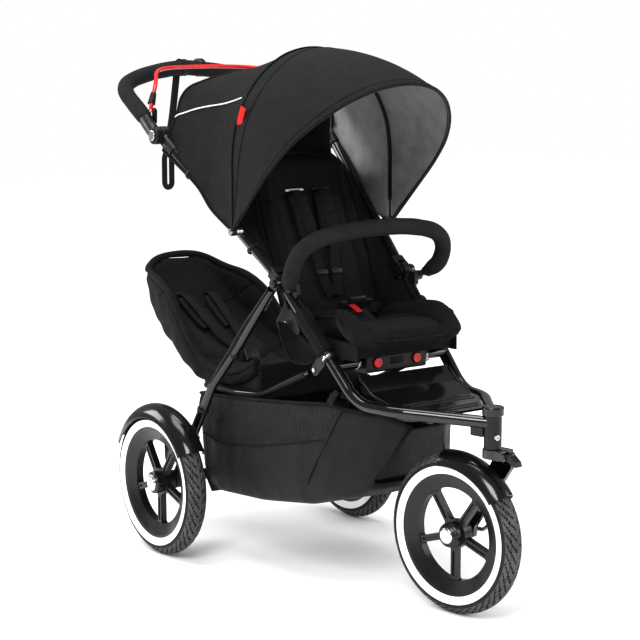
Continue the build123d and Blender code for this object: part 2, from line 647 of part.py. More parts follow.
def handle_knuckle():
    """Hinge disc with a socket for the bar and a lug for the stop bail."""
    bar_end, grip_end = Vector(HANDLE_HALF[0]), GRIP_PATH @ 0
    heading = (grip_end - bar_end).normalized()
    knuckle = x_rod(227.2, 242.6, HANDLE, 19.0)
    knuckle = fillet(knuckle.edges(), 2.0)
    stations = [(bar_end - heading * 24, 13.0), (bar_end + heading * 6, 14.6),
                (grip_end - heading * 0.4, 14.8)]
    socket = loft([Plane(origin=at, z_dir=heading) * Circle(r) for at, r in stations])
    socket = socket - x_rod(190, 227.2, HANDLE, 26.0)
    lug = plate_x([(84, 928), (96, 934), (97, 956), (90, 960.5), (83, 956)], 207.6, 212.6)
    knuckle = knuckle + socket + lug
    knuckle = knuckle - pipe(HANDLE_PATH, HANDLE_R + 0.05)
    knuckle = knuckle - x_rod(190, 244, HANDLE, HANDLE_PIN_R + RUN)
    knuckle = knuckle - x_rod(235.3, 250, HANDLE, HANDLE_BUTTON_R + RUN)
    knuckle = largest(knuckle - x_rod(190, 230, BAIL, BAIL_PIN_R + RUN))
    return largest(knuckle - pipe(GRIP_PATH, 17.6))


save("handlebar_tube", pipe(HANDLE_PATH, HANDLE_R, HANDLE_R - 1.8))
save("handlebar_grip", pipe(GRIP_PATH, 17.5, HANDLE_R + 0.15))
save_pair("handle_knuckles", handle_knuckle())
handle_button = x_rod(239.0, 246.6, HANDLE, HANDLE_BUTTON_R)
save_sides("handle_button", fillet(handle_button.edges().sort_by(Axis.X)[-1:], 1.2))

# ---------------------------------------------------------------- stop bail
BAIL_HALF = [(218.6, *BAIL), (218.0, 90.6, 964), (212, 94, 982), (198, 107, 1003),
             (176, 138, 1022), (148, 178, 1035), (108, 208, 1041), (55, 220, 1043)]
BAIL_PATH = Spline(*both_halves(BAIL_HALF, (0, 222, 1043.5)))


def bail_boot():
    start, end = [BAIL_PATH @ (distance / BAIL_PATH.length) for distance in (14.0, 40.0)]
    heading = (end - start).normalized()
    boot = loft([Plane(origin=start, z_dir=heading) * Circle(8.5),
                 Plane(origin=end, z_dir=heading) * Circle(6.2)])
    return largest(boot - pipe(BAIL_PATH, BAIL_R + 0.1))


bail_pin = x_rod(207.2, 219.5, BAIL, BAIL_PIN_R)
save("stop_bail", pipe(BAIL_PATH, BAIL_R) + bail_pin + mirrored(bail_pin))
save_pair("bail_boots", bail_boot())


# ---------------------------------------------------------------- main seat
def seat_squab():
    """Cushion, front lip and two side bolsters, cut clear of the tube sleeves."""
    cushion = plate_x([(-300, 478), (-300, 515), (-380, 534), (-462, 546), (-462, 511),
                       (-380, 492)], -126, 126)
    lip = plate_x([(-461, 512), (-461, 546), (-515, 547), (-540, 538), (-549, 524), (-538, 508),
                   (-500, 507)], -146, 146)
    bolster = plate_x([(-304, 500), (-312, 540), (-340, 572), (-403, 583), (-466, 577),
                       (-512, 552), (-512, 520)], 94, 128)
    sleeve_space = front_ring(10, 300, 19.0)
    squab = cushion + lip + bolster + mirrored(bolster)
    return largest(squab - sleeve_space - mirrored(sleeve_space))


save("seat_squab", seat_squab())
back_outline = in_frame(BACK, (math.sin(BACK_TILT), math.cos(BACK_TILT)),
                        [(14, 14), (408, 22), (418, 8), (412, -16), (14, -14)])
save("seat_back", plate_x(back_outline, -134, 134, 6))

# ---------------------------------------------------------------- second seat: tapered bucket
# Side outlines are (y, z); plan outlines are the right half (x, y).
BUCKET_SIDE = [
    (-205, 398), (-120, 376), (-50, 368), (30, 364), (107, 396), (207, 440), (277, 480),
    (322, 528), (341, 566), (341, 598), (326, 613), (280, 602), (225, 584), (165, 558),
    (108, 520), (60, 478), (10, 438), (-55, 418), (-120, 424), (-190, 455)]
BUCKET_INNER_SIDE = [
    (-185, 422), (-115, 402), (-50, 392), (22, 390), (92, 416), (188, 462), (252, 500),
    (296, 544), (316, 580), (322, 640), (290, 700), (-260, 700), (-260, 422)]
BUCKET_PLAN = [(-150, -260), (-150, 60), (-140, 140), (-126, 240), (-112, 318), (-88, 352)]
BUCKET_INNER_PLAN = [(-128, -260), (-128, 60), (-118, 140), (-104, 240), (-88, 305), (-68, 345)]
RAIL_PATH = round_path([(146, -392, 447), (150, -230, 374), (150, -100, 361), (150, -10, 361)],
                       [60, 80])
RAIL_R = 5.5


def second_seat():
    bucket = (crossed(BUCKET_SIDE, symmetric_plan(BUCKET_PLAN), 200, 300, 700)
              - crossed(BUCKET_INNER_SIDE, symmetric_plan(BUCKET_INNER_PLAN), 200, 300, 720))
    rail_space = pipe(RAIL_PATH, RAIL_R + 0.6)
    return largest(bucket - rail_space - mirrored(rail_space))


save("second_seat", second_seat())
save_pair("second_seat_rails", pipe(RAIL_PATH, RAIL_R, RAIL_R - 1.3))

# ---------------------------------------------------------------- basket: open-topped bag
BAG_SIDE = [
    (-20, 347), (-46, 142), (-230, 151), (-385, 172), (-500, 204), (-530, 224), (-545, 252),
    (-594, 350), (-560, 384), (-500, 384), (-455, 396), (-257, 372)]
BAG_INNER_SIDE = [
    (-23, 420), (-23, 347), (-48.8, 145.0), (-230, 154), (-385, 175), (-499, 207),
    (-527, 226), (-542, 253), (-590, 349), (-600, 420)]
BAG_PLAN = [(-171, -10), (-178, -90), (-178, -250), (-169, -385), (-152, -460), (-124, -520),
            (-92, -560), (-42, -592)]
BAG_INNER_PLAN = [(-168, -21), (-175, -90), (-175, -250), (-166, -384.5), (-149.3, -458.5),
                  (-121.7, -517.8), (-90.4, -557.3), (-41, -589)]

bag = (crossed(BAG_SIDE, symmetric_plan(BAG_PLAN), 220, 100, 500)
       - crossed(BAG_INNER_SIDE, symmetric_plan(BAG_INNER_PLAN), 220, 100, 520))
save("basket", largest(bag - x_rod(-215, 215, REAR_AXLE, 13.2)))
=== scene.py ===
"""Three-wheeled pushchair: a main seat under a folding canopy, a lower padded bucket seat
behind it and a cloth basket below both.

The front is -Y, the right-hand side is -X and the ground is z = 0. Shapes are given in
millimetres; make() turns them into metres.
"""

import json
import math
import random

import bpy
import bmesh
import numpy as np
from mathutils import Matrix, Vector
from mathutils.kdtree import KDTree


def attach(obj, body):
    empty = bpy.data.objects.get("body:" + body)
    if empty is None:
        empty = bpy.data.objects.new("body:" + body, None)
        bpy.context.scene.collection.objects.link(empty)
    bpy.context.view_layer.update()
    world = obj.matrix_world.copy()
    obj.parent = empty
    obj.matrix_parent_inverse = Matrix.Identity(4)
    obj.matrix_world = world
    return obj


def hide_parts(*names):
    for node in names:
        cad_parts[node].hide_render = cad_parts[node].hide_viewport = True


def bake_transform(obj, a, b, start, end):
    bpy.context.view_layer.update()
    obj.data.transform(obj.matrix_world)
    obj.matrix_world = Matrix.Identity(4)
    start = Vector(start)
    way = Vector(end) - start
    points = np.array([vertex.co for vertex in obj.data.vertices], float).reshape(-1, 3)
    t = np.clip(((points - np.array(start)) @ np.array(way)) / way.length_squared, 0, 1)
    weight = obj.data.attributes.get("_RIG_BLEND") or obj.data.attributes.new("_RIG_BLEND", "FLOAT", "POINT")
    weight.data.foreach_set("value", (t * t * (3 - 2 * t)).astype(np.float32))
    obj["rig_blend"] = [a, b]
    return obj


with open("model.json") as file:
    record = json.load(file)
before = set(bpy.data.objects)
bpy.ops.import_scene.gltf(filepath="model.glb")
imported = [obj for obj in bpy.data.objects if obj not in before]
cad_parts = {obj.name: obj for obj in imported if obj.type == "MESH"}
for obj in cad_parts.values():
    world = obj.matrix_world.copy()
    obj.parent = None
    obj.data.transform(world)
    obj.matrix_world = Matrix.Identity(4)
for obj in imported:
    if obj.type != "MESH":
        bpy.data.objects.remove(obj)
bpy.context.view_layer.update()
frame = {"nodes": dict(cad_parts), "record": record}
random.seed(7)
scene = bpy.context.scene
MM = 0.001
SIDES = ((-1, "r"), (1, "l"))  # sign of x and name ending

# ------------------------------------------------------------------ shader nodes


def new_material(name):
    material = bpy.data.materials.new(name)
    material.use_nodes = True
    tree = material.node_tree
    tree.nodes.clear()
    output = tree.nodes.new("ShaderNodeOutputMaterial")
    shader = tree.nodes.new("ShaderNodeBsdfPrincipled")
    tree.links.new(shader.outputs[0], output.inputs[0])
    return material, tree, shader, output


def fill(tree, node, inputs):
    """Gives each input its value, or links it to the socket given."""
    for key, value in inputs.items():
        if isinstance(value, bpy.types.NodeSocket):
            tree.links.new(value, node.inputs[key])
        else:
            node.inputs[key].default_value = value


def add_node(tree, kind, inputs, **settings):
    node = tree.nodes.new("ShaderNode" + kind)
    for name, value in settings.items():
        setattr(node, name, value)
    fill(tree, node, inputs)
    return node


def object_coords(tree):
    return add_node(tree, "TexCoord", {}).outputs["Object"]


def noise(tree, scale, detail=3.0, rough=0.5, stretch=(1, 1, 1)):
    mapping = add_node(tree, "Mapping", {0: object_coords(tree), "Scale": stretch})
    inputs = {"Vector": mapping.outputs[0], "Scale": scale, "Detail": detail, "Roughness": rough}
    return add_node(tree, "TexNoise", inputs).outputs[0]


def combine(tree, operation, first, second):
    return add_node(tree, "Math", {0: first, 1: second}, operation=operation).outputs[0]


def remap(tree, value, low, high, from_low=0.3, from_high=0.7):
    inputs = {"Value": value, "From Min": from_low, "From Max": from_high,
              "To Min": low, "To Max": high}
    return add_node(tree, "MapRange", inputs).outputs["Result"]


def thread_relief(tree, period_mm):
    """Over-under relief x*y + y*z + z*x of sines, which works on any surface direction."""
    scaled = add_node(tree, "VectorMath", {0: object_coords(tree),
                      "Scale": 2 * math.pi / (period_mm * MM)}, operation="SCALE")
    sine = add_node(tree, "VectorMath", {0: scaled.outputs[0]}, operation="SINE").outputs[0]
    x, y, z = add_node(tree, "SeparateXYZ", {0: sine}).outputs[:3]
    turned = add_node(tree, "CombineXYZ", {0: y, 1: z, 2: x}).outputs[0]
    product = add_node(tree, "VectorMath", {0: sine, 1: turned}, operation="DOT_PRODUCT")
    return product.outputs["Value"]


def mix_colour(tree, factor, dark, light):
    inputs = {"Factor": factor, 6: (*dark, 1), 7: (*light, 1)}
    return add_node(tree, "Mix", inputs, data_type="RGBA").outputs[2]


def bump(tree, height, strength, depth_mm, under=None):
    inputs = {"Strength": strength, "Distance": depth_mm * MM, "Height": height}
    if under is not None:
        inputs["Normal"] = under
    return add_node(tree, "Bump", inputs).outputs[0]


# ------------------------------------------------------------------ materials


def fabric(name, dark, light, thread, rough, sheen, fold, fold_scale, weave, specular):
    """Woven cloth. thread: weave period, mm; fold: fold depth, mm; weave: relief strength."""
    material, tree, shader, _ = new_material(name)
    threads = thread_relief(tree, thread)
    folds = noise(tree, fold_scale, detail=3.0, rough=0.55)
    tone = remap(tree, noise(tree, 30.0, detail=4.0, rough=0.6), 0.0, 1.0)
    wear = noise(tree, 60.0, detail=2.0)
    normal = bump(tree, folds, strength=0.5, depth_mm=fold)
    normal = bump(tree, threads, strength=weave, depth_mm=0.25, under=normal)
    fill(tree, shader, {
        "Base Color": mix_colour(tree, tone, dark, light),
        "Roughness": remap(tree, wear, rough - 0.07, rough + 0.07),
        "Specular IOR Level": specular,
        "Sheen Weight": sheen,
        "Sheen Roughness": 0.5,
        "Sheen Tint": (0.5, 0.5, 0.52, 1),
        "Normal": normal,
    })
    return material


def net_cloth(name, dark, light, hole, opacity):
    """Net with partly see-through holes. hole: period, mm; opacity: the least cover."""
    material, tree, shader, output = new_material(name)
    threads = thread_relief(tree, hole)
    cover = remap(tree, threads, 0.0, 1.0, from_low=-0.35, from_high=0.15)
    tone = remap(tree, noise(tree, 25.0, detail=4.0), 0.0, 1.0)
    folds = bump(tree, noise(tree, 18.0), strength=0.5, depth_mm=4.0)
    fill(tree, shader, {
        "Base Color": mix_colour(tree, tone, dark, light),
        "Roughness": 0.6,
        "Normal": bump(tree, threads, strength=0.6, depth_mm=0.3, under=folds),
    })
    clear = add_node(tree, "BsdfTransparent", {})
    solid = combine(tree, "MAXIMUM", combine(tree, "MULTIPLY", cover, 1.0), opacity)
    mix = add_node(tree, "MixShader", {0: solid, 1: clear.outputs[0], 2: shader.outputs[0]})
    fill(tree, output, {0: mix.outputs[0]})
    return material


def hard(name, dark, light, rough, grain, depth, wear, specular, relief,
         metallic=0.0, coat=0.0, stretch=(1, 1, 1)):
    """Plastic, rubber or metal. grain: noise scale; depth: its depth, mm; relief: its
    strength; wear: spread of roughness; stretch: scale of the wear pattern in x, y, z."""
    material, tree, shader, _ = new_material(name)
    tone = remap(tree, noise(tree, 22.0, detail=4.0, rough=0.6), 0.0, 1.0)
    worn = noise(tree, 90.0, detail=5.0, rough=0.65, stretch=stretch)
    fill(tree, shader, {
        "Base Color": mix_colour(tree, tone, dark, light),
        "Roughness": remap(tree, worn, rough - wear, rough + wear, 0.35, 0.65),
        "Metallic": metallic,
        "Specular IOR Level": specular,
        "Coat Weight": coat,
        "Coat Roughness": 0.06,
        "Normal": bump(tree, noise(tree, grain, detail=2.0), relief, depth),
    })
    return material


MAT = {
    "canopy": fabric(
        "canopy_cloth", (0.0065, 0.0065, 0.007), (0.0105, 0.0105, 0.011), thread=1.6,
        rough=0.74, sheen=0.03, fold=2.0, fold_scale=9.0, weave=0.35, specular=0.22),
    "lining": fabric(
        "canopy_lining", (0.210, 0.212, 0.220), (0.320, 0.322, 0.330), thread=1.4,
        rough=0.40, sheen=0.05, fold=5.0, fold_scale=14.0, weave=0.3, specular=0.5),
    "pad": fabric(
        "padded_cloth", (0.0055, 0.0055, 0.006), (0.0095, 0.0095, 0.010), thread=2.0,
        rough=0.8, sheen=0.04, fold=2.6, fold_scale=17.0, weave=0.5, specular=0.2),
    "pad2": fabric(
        "insert_cloth", (0.0080, 0.0080, 0.0085), (0.0130, 0.0130, 0.0135), thread=2.6,
        rough=0.72, sheen=0.05, fold=2.0, fold_scale=20.0, weave=0.7, specular=0.22),
    "bag": fabric(
        "basket_cloth", (0.0075, 0.0075, 0.0085), (0.0135, 0.0135, 0.015), thread=1.8,
        rough=0.55, sheen=0.03, fold=4.0, fold_scale=8.0, weave=0.3, specular=0.3),
    "binding": fabric(
        "edge_binding", (0.004, 0.004, 0.004), (0.007, 0.007, 0.007), thread=1.2,
        rough=0.6, sheen=0.02, fold=0.6, fold_scale=60.0, weave=0.8, specular=0.25),
    "web": fabric(
        "webbing", (0.0050, 0.0050, 0.0050), (0.0100, 0.0100, 0.0105), thread=1.5,
        rough=0.55, sheen=0.03, fold=0.4, fold_scale=70.0, weave=1.0, specular=0.3),
    "net": net_cloth("net_cloth", (0.006, 0.006, 0.007), (0.013, 0.013, 0.015),
                     hole=3.2, opacity=0.60),
    "net_dense": net_cloth("net_cloth_dense", (0.004, 0.004, 0.005), (0.009, 0.009, 0.010),
                           hole=2.6, opacity=0.9),
    "foam": hard(
        "soft_foam", (0.014, 0.014, 0.0147), (0.021, 0.021, 0.0217), rough=0.88,
        grain=900.0, depth=0.35, wear=0.08, specular=0.22, relief=0.6),
    "tube": hard(
        "gloss_frame", (0.004, 0.004, 0.0045), (0.007, 0.007, 0.0075), rough=0.14, coat=0.5,
        grain=400.0, depth=0.02, wear=0.05, specular=0.5, relief=0.15),
    "gloss": hard(
        "gloss_mould", (0.005, 0.005, 0.0055), (0.008, 0.008, 0.009), rough=0.19, coat=0.3,
        grain=260.0, depth=0.03, wear=0.05, specular=0.5, relief=0.2),
    "satin": hard(
        "satin_mould", (0.008, 0.008, 0.0085), (0.014, 0.014, 0.015), rough=0.38,
        grain=800.0, depth=0.08, wear=0.08, specular=0.42, relief=0.35),
    "rim": hard(
        "wheel_mould", (0.006, 0.006, 0.0065), (0.010, 0.010, 0.011), rough=0.32, coat=0.1,
        grain=500.0, depth=0.05, wear=0.06, specular=0.45, relief=0.25),
    "steel": hard(
        "brushed_metal", (0.45, 0.45, 0.46), (0.62, 0.62, 0.63), rough=0.26, metallic=1.0,
        grain=300.0, depth=0.04, wear=0.08, specular=0.5, relief=0.3, stretch=(1, 1, 9)),
    "chrome": hard(
        "bright_metal", (0.62, 0.62, 0.63), (0.78, 0.78, 0.79), rough=0.16, metallic=1.0,
        grain=300.0, depth=0.03, wear=0.05, specular=0.5, relief=0.2),
    "red": hard(
        "red_mould", (0.52, 0.006, 0.008), (0.68, 0.010, 0.012), rough=0.24, coat=0.4,
        grain=300.0, depth=0.03, wear=0.05, specular=0.4, relief=0.2),
    "redtube": hard(
        "red_paint", (0.50, 0.008, 0.010), (0.64, 0.014, 0.014), rough=0.24, coat=0.4,
        grain=300.0, depth=0.03, wear=0.05, specular=0.4, relief=0.2),
    "redcloth": fabric(
        "red_tape", (0.55, 0.008, 0.010), (0.70, 0.014, 0.014), thread=1.2,
        rough=0.6, sheen=0.02, fold=0.5, fold_scale=60.0, weave=0.8, specular=0.3),
    # tyre groove faces: painted shade, far darker than the tread so the cuts read as shaded
    "tread_groove": hard(
        "tread_groove", (0.004, 0.004, 0.0045), (0.008, 0.008, 0.009), rough=0.8,
        grain=700.0, depth=0.1, wear=0.1, specular=0.15, relief=0.3),
    "rubber": hard(
        "tyre_rubber", (0.014, 0.014, 0.0155), (0.026, 0.026, 0.028), rough=0.72,
        grain=700.0, depth=0.15, wear=0.1, specular=0.3, relief=0.5),
    "tread": hard(
        "tyre_tread", (0.060, 0.060, 0.065), (0.115, 0.114, 0.120), rough=0.82,
        grain=500.0, depth=0.25, wear=0.08, specular=0.3, relief=0.6),
    "white": hard(
        "white_rubber", (0.80, 0.80, 0.79), (0.90, 0.90, 0.89), rough=0.5,
        grain=500.0, depth=0.06, wear=0.08, specular=0.4, relief=0.3),
    "reflect": fabric(
        "reflective_cord", (0.60, 0.61, 0.63), (0.85, 0.86, 0.87), thread=1.0,
        rough=0.35, sheen=0.0, fold=0.3, fold_scale=80.0, weave=0.6, specular=0.5),
    # darkest mould: painted shade for gaps and recesses round buttons, rings and the label plate
    "groove": hard(
        "deep_mould", (0.003, 0.003, 0.003), (0.006, 0.006, 0.006), rough=0.6,
        grain=500.0, depth=0.05, wear=0.08, specular=0.3, relief=0.3),
    "stitch": fabric(
        "stitching", (0.018, 0.018, 0.020), (0.036, 0.036, 0.038), thread=0.9,
        rough=0.7, sheen=0.05, fold=0.3, fold_scale=90.0, weave=0.8, specular=0.3),
}

SLOT_MATERIALS = {
    "tyre": ["rubber", "tread_groove", "tread", "white"],
    "rim": ["rim"],
    "gloss_tube": ["tube"],
    "gloss_plastic": ["gloss"],
    "satin_plastic": ["satin", "groove"],
    "steel": ["steel", "reflect"],
    "silver_button": ["chrome"],
    "red_plastic": ["red", "redcloth"],
    "red_metal": ["redtube"],
    "foam": ["foam"],
    "black_fabric": ["canopy", "lining", "binding", "web", "stitch"],
    "padded_fabric": ["pad", "pad2"],
    "mesh_fabric": ["bag", "net", "net_dense"],
}
SLOT_OF = {key: slot for slot, keys in SLOT_MATERIALS.items() for key in keys}
CAD_MATERIAL = {slot: keys[0] for slot, keys in SLOT_MATERIALS.items()}
CAD_MATERIAL["bow_plastic"] = "satin"

for subpart in frame["record"]["subparts"]:
    cad_piece = frame["nodes"][subpart["node"]]
    cad_piece.data.materials.clear()
    cad_piece.data.materials.append(MAT[CAD_MATERIAL[subpart["material_slot"]]])
for cad_piece in frame["nodes"].values():
    for polygon in cad_piece.data.polygons:
        polygon.material_index = 0

# Cloth in two layers: outer side, inner side, edge
PAD_CLOTH = ["pad", "pad", "binding"]
BAG_CLOTH = ["bag", "bag", "binding"]

# ------------------------------------------------------------------ curves and grids


def spline(points, per, count=None):
    """Catmull-Rom curve, `per` steps from point to point, optionally resampled to count."""
    points = np.array(points, float)
    total = len(points)
    curve = []
    for i in range(total - 1):
        p1, p2 = points[i], points[i + 1]
        p0 = points[i - 1] if i > 0 else 2 * p1 - p2
        p3 = points[i + 2] if i + 2 < total else 2 * p2 - p1
        for step in range(per):
            t = step / per
            curve.append(0.5 * (2 * p1 + (-p0 + p2) * t
                                + (2 * p0 - 5 * p1 + 4 * p2 - p3) * t * t
                                + (-p0 + 3 * p1 - 3 * p2 + p3) * t ** 3))
    curve.append(points[-1])
    return np.array(curve) if count is None else resample(curve, count)


def distances_along(points):
    return np.r_[0, np.cumsum(np.linalg.norm(np.diff(points, axis=0), axis=1))]


def resample(points, count):
    """The same polyline with evenly spaced points."""
    points = np.array(points, float)
    along = distances_along(points)
    wanted = np.linspace(0, along[-1], count)
    return np.stack([np.interp(wanted, along, column) for column in points.T], axis=1)


def relax(points, rounds):
    """Smooths in place along the first axis; the ends stay put."""
    for _ in range(rounds):
        points[1:-1] = (points[:-2] + 2 * points[1:-1] + points[2:]) / 4
    return points


def both_sides(half):
    """Half curve that ends on the centre plane -> full curve."""
    half = [tuple(point) for point in half]
    return half + [(-x, y, z) for x, y, z in reversed(half[:-1])]


def on_side(points, side):
    return np.array(points, float) * (side, 1, 1)


def unit(vector):
    vector = np.array(vector, float)
    return vector / np.linalg.norm(vector)


def ramp(value, start, end):
    """Smooth step from 0 at start to 1 at end."""
    t = np.clip((np.asarray(value, float) - start) / (end - start), 0, 1)
    return t * t * (3 - 2 * t)


def tangents(path):
    along = np.gradient(path, axis=0)
    return along / (np.linalg.norm(along, axis=1)[:, None] + 1e-12)


def frames(path):
    """Two cross directions at each point, carried along the path without twist."""
    along = tangents(path)
    helper = (0, 0, 1.0) if abs(along[0][2]) < 0.8 else (1.0, 0, 0)
    normals = [unit(np.cross(along[0], helper))]
    for tangent in along[1:]:
        normal = normals[-1] - tangent * np.dot(normals[-1], tangent)
        normals.append(normal / (np.linalg.norm(normal) + 1e-12))
    normals = np.array(normals)
    return normals, np.cross(along, normals)


def grid(rows, columns, point):
    """Array of point(down, across), both running from 0 to 1."""
    return np.array([[point(i / (rows - 1), j / (columns - 1)) for j in range(columns)]
                     for i in range(rows)], float)


def grid_normals(sheet):
    normals = np.cross(np.gradient(sheet, axis=0), np.gradient(sheet, axis=1))
    return normals / (np.linalg.norm(normals, axis=2)[..., None] + 1e-12)


def is_reversed(sheet, direction):
    """True if the normal in the middle of the sheet points against the direction."""
    middle = sheet.shape[0] // 2, sheet.shape[1] // 2
    return np.dot(grid_normals(sheet)[middle], direction) < 0


def quads(rows, columns):
    for i in range(rows - 1):
        for j in range(columns - 1):
            corner = i * columns + j
            yield corner, corner + 1, corner + columns + 1, corner + columns


def border(rows, columns):
    """Index pairs of the edges round a grid."""
    last = (rows - 1) * columns
    top = list(range(columns))
    right = [i * columns + columns - 1 for i in range(rows)]
    bottom = [last + j for j in reversed(range(columns))]
    left = [i * columns for i in reversed(range(rows))]
    for line in (top, right, bottom, left):
        yield from zip(line[:-1], line[1:])


# ------------------------------------------------------------------ mesh makers


def add_object(name, data):
    piece = bpy.data.objects.new(name, data)
    scene.collection.objects.link(piece)
    return piece


def make(name, vertices, faces, materials, smooth=True, face_materials=None):
    mesh = bpy.data.meshes.new(name)
    mesh.from_pydata([tuple(float(c) * MM for c in vertex) for vertex in vertices], [],
                     [tuple(int(i) for i in face) for face in faces])
    mesh.update()
    piece = add_object(name, mesh)
    materials = [materials] if isinstance(materials, str) else materials
    for key in materials:
        mesh.materials.append(MAT[key])
    if face_materials is not None:
        mesh.polygons.foreach_set("material_index", np.array(face_materials, np.int32))
    if smooth:
        mesh.polygons.foreach_set("use_smooth", np.ones(len(mesh.polygons), bool))
    mesh.update()
    return piece


def tube(name, path, radius, material, sides=18):
    """Capped round tube; radius is a number, a list, or a function (fraction, angle)."""
    path = np.array(path, float)
    normals, binormals = frames(path)
    count = len(path)
    vertices, faces = [], []
    for i in range(count):
        for j in range(sides):
            angle = 2 * math.pi * j / sides
            if callable(radius):
                size = radius(i / (count - 1), angle)
            else:
                size = radius if isinstance(radius, (int, float)) else radius[i]
            outward = normals[i] * math.cos(angle) + binormals[i] * math.sin(angle)
            vertices.append(path[i] + outward * size)
    last = (count - 1) * sides
    for start in range(0, last, sides):
        for j in range(sides):
            following = (j + 1) % sides
            faces.append((start + j, start + following,
                          start + sides + following, start + sides + j))
    vertices += [path[0], path[-1]]
    first_centre = last + sides
    for j in range(sides):
        following = (j + 1) % sides
        faces.append((first_centre, following, j))
        faces.append((first_centre + 1, last + j, last + following))
    return make(name, vertices, faces, material)


# Section of a ribbon: (across, up) as shares of its width and thickness
RIBBON_SECTION = [(-0.5, -0.15), (-0.47, -0.5), (0.0, -0.5), (0.47, -0.5), (0.5, -0.15),
                  (0.5, 0.15), (0.47, 0.5), (0.0, 0.5), (-0.47, 0.5), (-0.5, 0.15)]


def ribbon(name, path, across, width, thickness, material):
    """Flat band along the path; across is the direction of its width."""
    path = np.array(path, float)
    across = np.array(across, float)
    vertices, faces = [], []
    for point, tangent in zip(path, tangents(path)):
        flat = across - tangent * np.dot(across, tangent)
        flat /= np.linalg.norm(flat) + 1e-12
        up = np.cross(tangent, flat)
        for a, b in RIBBON_SECTION:
            vertices.append(point + flat * a * width + up * b * thickness)
    around = len(RIBBON_SECTION)
    last = (len(path) - 1) * around
    for start in range(0, last, around):
        for j in range(around):
            following = (j + 1) % around
            faces.append((start + j, start + around + j,
                          start + around + following, start + following))
    faces.append(range(around))
    faces.append(reversed(range(last, last + around)))
    return make(name, vertices, faces, material)


def lathe(name, profile, centre, axis, material, steps):
    """Open turned surface; profile: (distance along the axis, radius)."""
    axis = unit(axis)
    helper = (0, 0, 1.0) if abs(axis[2]) < 0.9 else (1.0, 0, 0)
    first = unit(np.cross(axis, helper))
    second = np.cross(axis, first)
    centre = np.array(centre, float)
    vertices, faces = [], []
    count = len(profile)
    for j in range(steps):
        angle = 2 * math.pi * j / steps
        outward = first * math.cos(angle) + second * math.sin(angle)
        vertices += [centre + axis * along + outward * radius for along, radius in profile]
        here, there = j * count, (j + 1) % steps * count
        faces += [(here + i, here + i + 1, there + i + 1, there + i)
                  for i in range(count - 1)]
    return make(name, vertices, faces, material)


def band(half_width, inner, outer):
    """Lathe profile of a flat ring, open towards the axis."""
    return [(-half_width, inner), (-half_width, outer), (half_width, outer),
            (half_width, inner)]


def shell(name, sheet, thickness, materials, flip=False):
    """Cloth with a second layer behind the sheet; materials: outer, inner, edge."""
    rows, columns = sheet.shape[:2]
    behind = sheet - grid_normals(sheet) * (-1 if flip else 1) * thickness
    vertices = np.vstack([sheet.reshape(-1, 3), behind.reshape(-1, 3)])
    offset = rows * columns
    faces, face_materials = [], []
    for a, b, c, d in quads(rows, columns):
        face = (a, b, c, d) if flip else (a, d, c, b)
        faces += [face, [offset + i for i in reversed(face)]]
        face_materials += [0, 1]
    for a, b in border(rows, columns):
        faces.append((b, a, a + offset, b + offset) if flip
                     else (a, b, b + offset, a + offset))
        face_materials.append(2)
    return make(name, vertices, faces, materials, face_materials=face_materials)


def turn_faces_outward(piece):
    work = bmesh.new()
    work.from_mesh(piece.data)
    bmesh.ops.recalc_face_normals(work, faces=work.faces)
    work.to_mesh(piece.data)
    work.free()


def slab(name, middle, thickness, materials):
    """Closed pad from its middle surface and a thickness at each grid point."""
    rows, columns = middle.shape[:2]
    half = grid_normals(middle) * thickness[..., None] / 2
    vertices = np.vstack([(middle + half).reshape(-1, 3), (middle - half).reshape(-1, 3)])
    offset = rows * columns
    faces = []
    for a, b, c, d in quads(rows, columns):
        faces += [(a, d, c, b), (offset + a, offset + b, offset + c, offset + d)]
    faces += [(a, b, b + offset, a + offset) for a, b in border(rows, columns)]
    piece = make(name, vertices, faces, materials)
    turn_faces_outward(piece)
    return piece


def edge_taper(rows, columns, margin, low):
    """Thickness share: 1 inside, rounding down to `low` over the margin at each edge."""
    def share(count):
        fraction = np.linspace(0, 1, count)
        inside = np.clip(np.minimum(fraction, 1 - fraction) / margin, 0, 1)
        return low + (1 - low) * np.sqrt(1 - (1 - inside) ** 2)
    return share(rows)[:, None] * share(columns)[None, :]


def box(name, centre, axes, half, material):
    axes = [unit(axis) for axis in axes]
    centre = np.array(centre, float)
    vertices = [centre + axes[0] * a * half[0] + axes[1] * b * half[1] + axes[2] * c * half[2]
                for c in (-1, 1) for b in (-1, 1) for a in (-1, 1)]
    faces = [(0, 1, 3, 2), (4, 6, 7, 5), (0, 4, 5, 1), (2, 3, 7, 6), (0, 2, 6, 4), (1, 5, 7, 3)]
    return make(name, vertices, faces, material, smooth=False)


# ------------------------------------------------------------------ mesh changes


def apply_modifiers(piece):
    graph = bpy.context.evaluated_depsgraph_get()
    mesh = bpy.data.meshes.new_from_object(piece.evaluated_get(graph))
    old = piece.data
    piece.modifiers.clear()
    piece.data = mesh
    mesh.polygons.foreach_set("use_smooth", np.ones(len(mesh.polygons), bool))
    bpy.data.meshes.remove(old)
    return piece


def bevel(piece, width_mm, segments):
    modifier = piece.modifiers.new("bevel", "BEVEL")
    modifier.width = width_mm * MM
    modifier.segments = segments
    return apply_modifiers(piece)


def soft_box(name, centre, axes, half, material, width_mm, segments=3):
    piece = box(name, centre, axes, half, material)
    turn_faces_outward(piece)
    return bevel(piece, width_mm, segments)


def subdivide(piece):
    modifier = piece.modifiers.new("smooth", "SUBSURF")
    modifier.levels = 1
    modifier.render_levels = 1
    return apply_modifiers(piece)


def remesh(piece, voxel_mm):
    modifier = piece.modifiers.new("remesh", "REMESH")
    modifier.mode = "VOXEL"
    modifier.voxel_size = voxel_mm * MM
    modifier.use_smooth_shade = True
    materials = list(piece.data.materials)
    apply_modifiers(piece)
    piece.data.materials.clear()
    for material in materials:
        piece.data.materials.append(material)
    indices = np.zeros(len(piece.data.polygons), np.int32)
    piece.data.polygons.foreach_set("material_index", indices)
    return piece


PUFF_FRAMES = 18


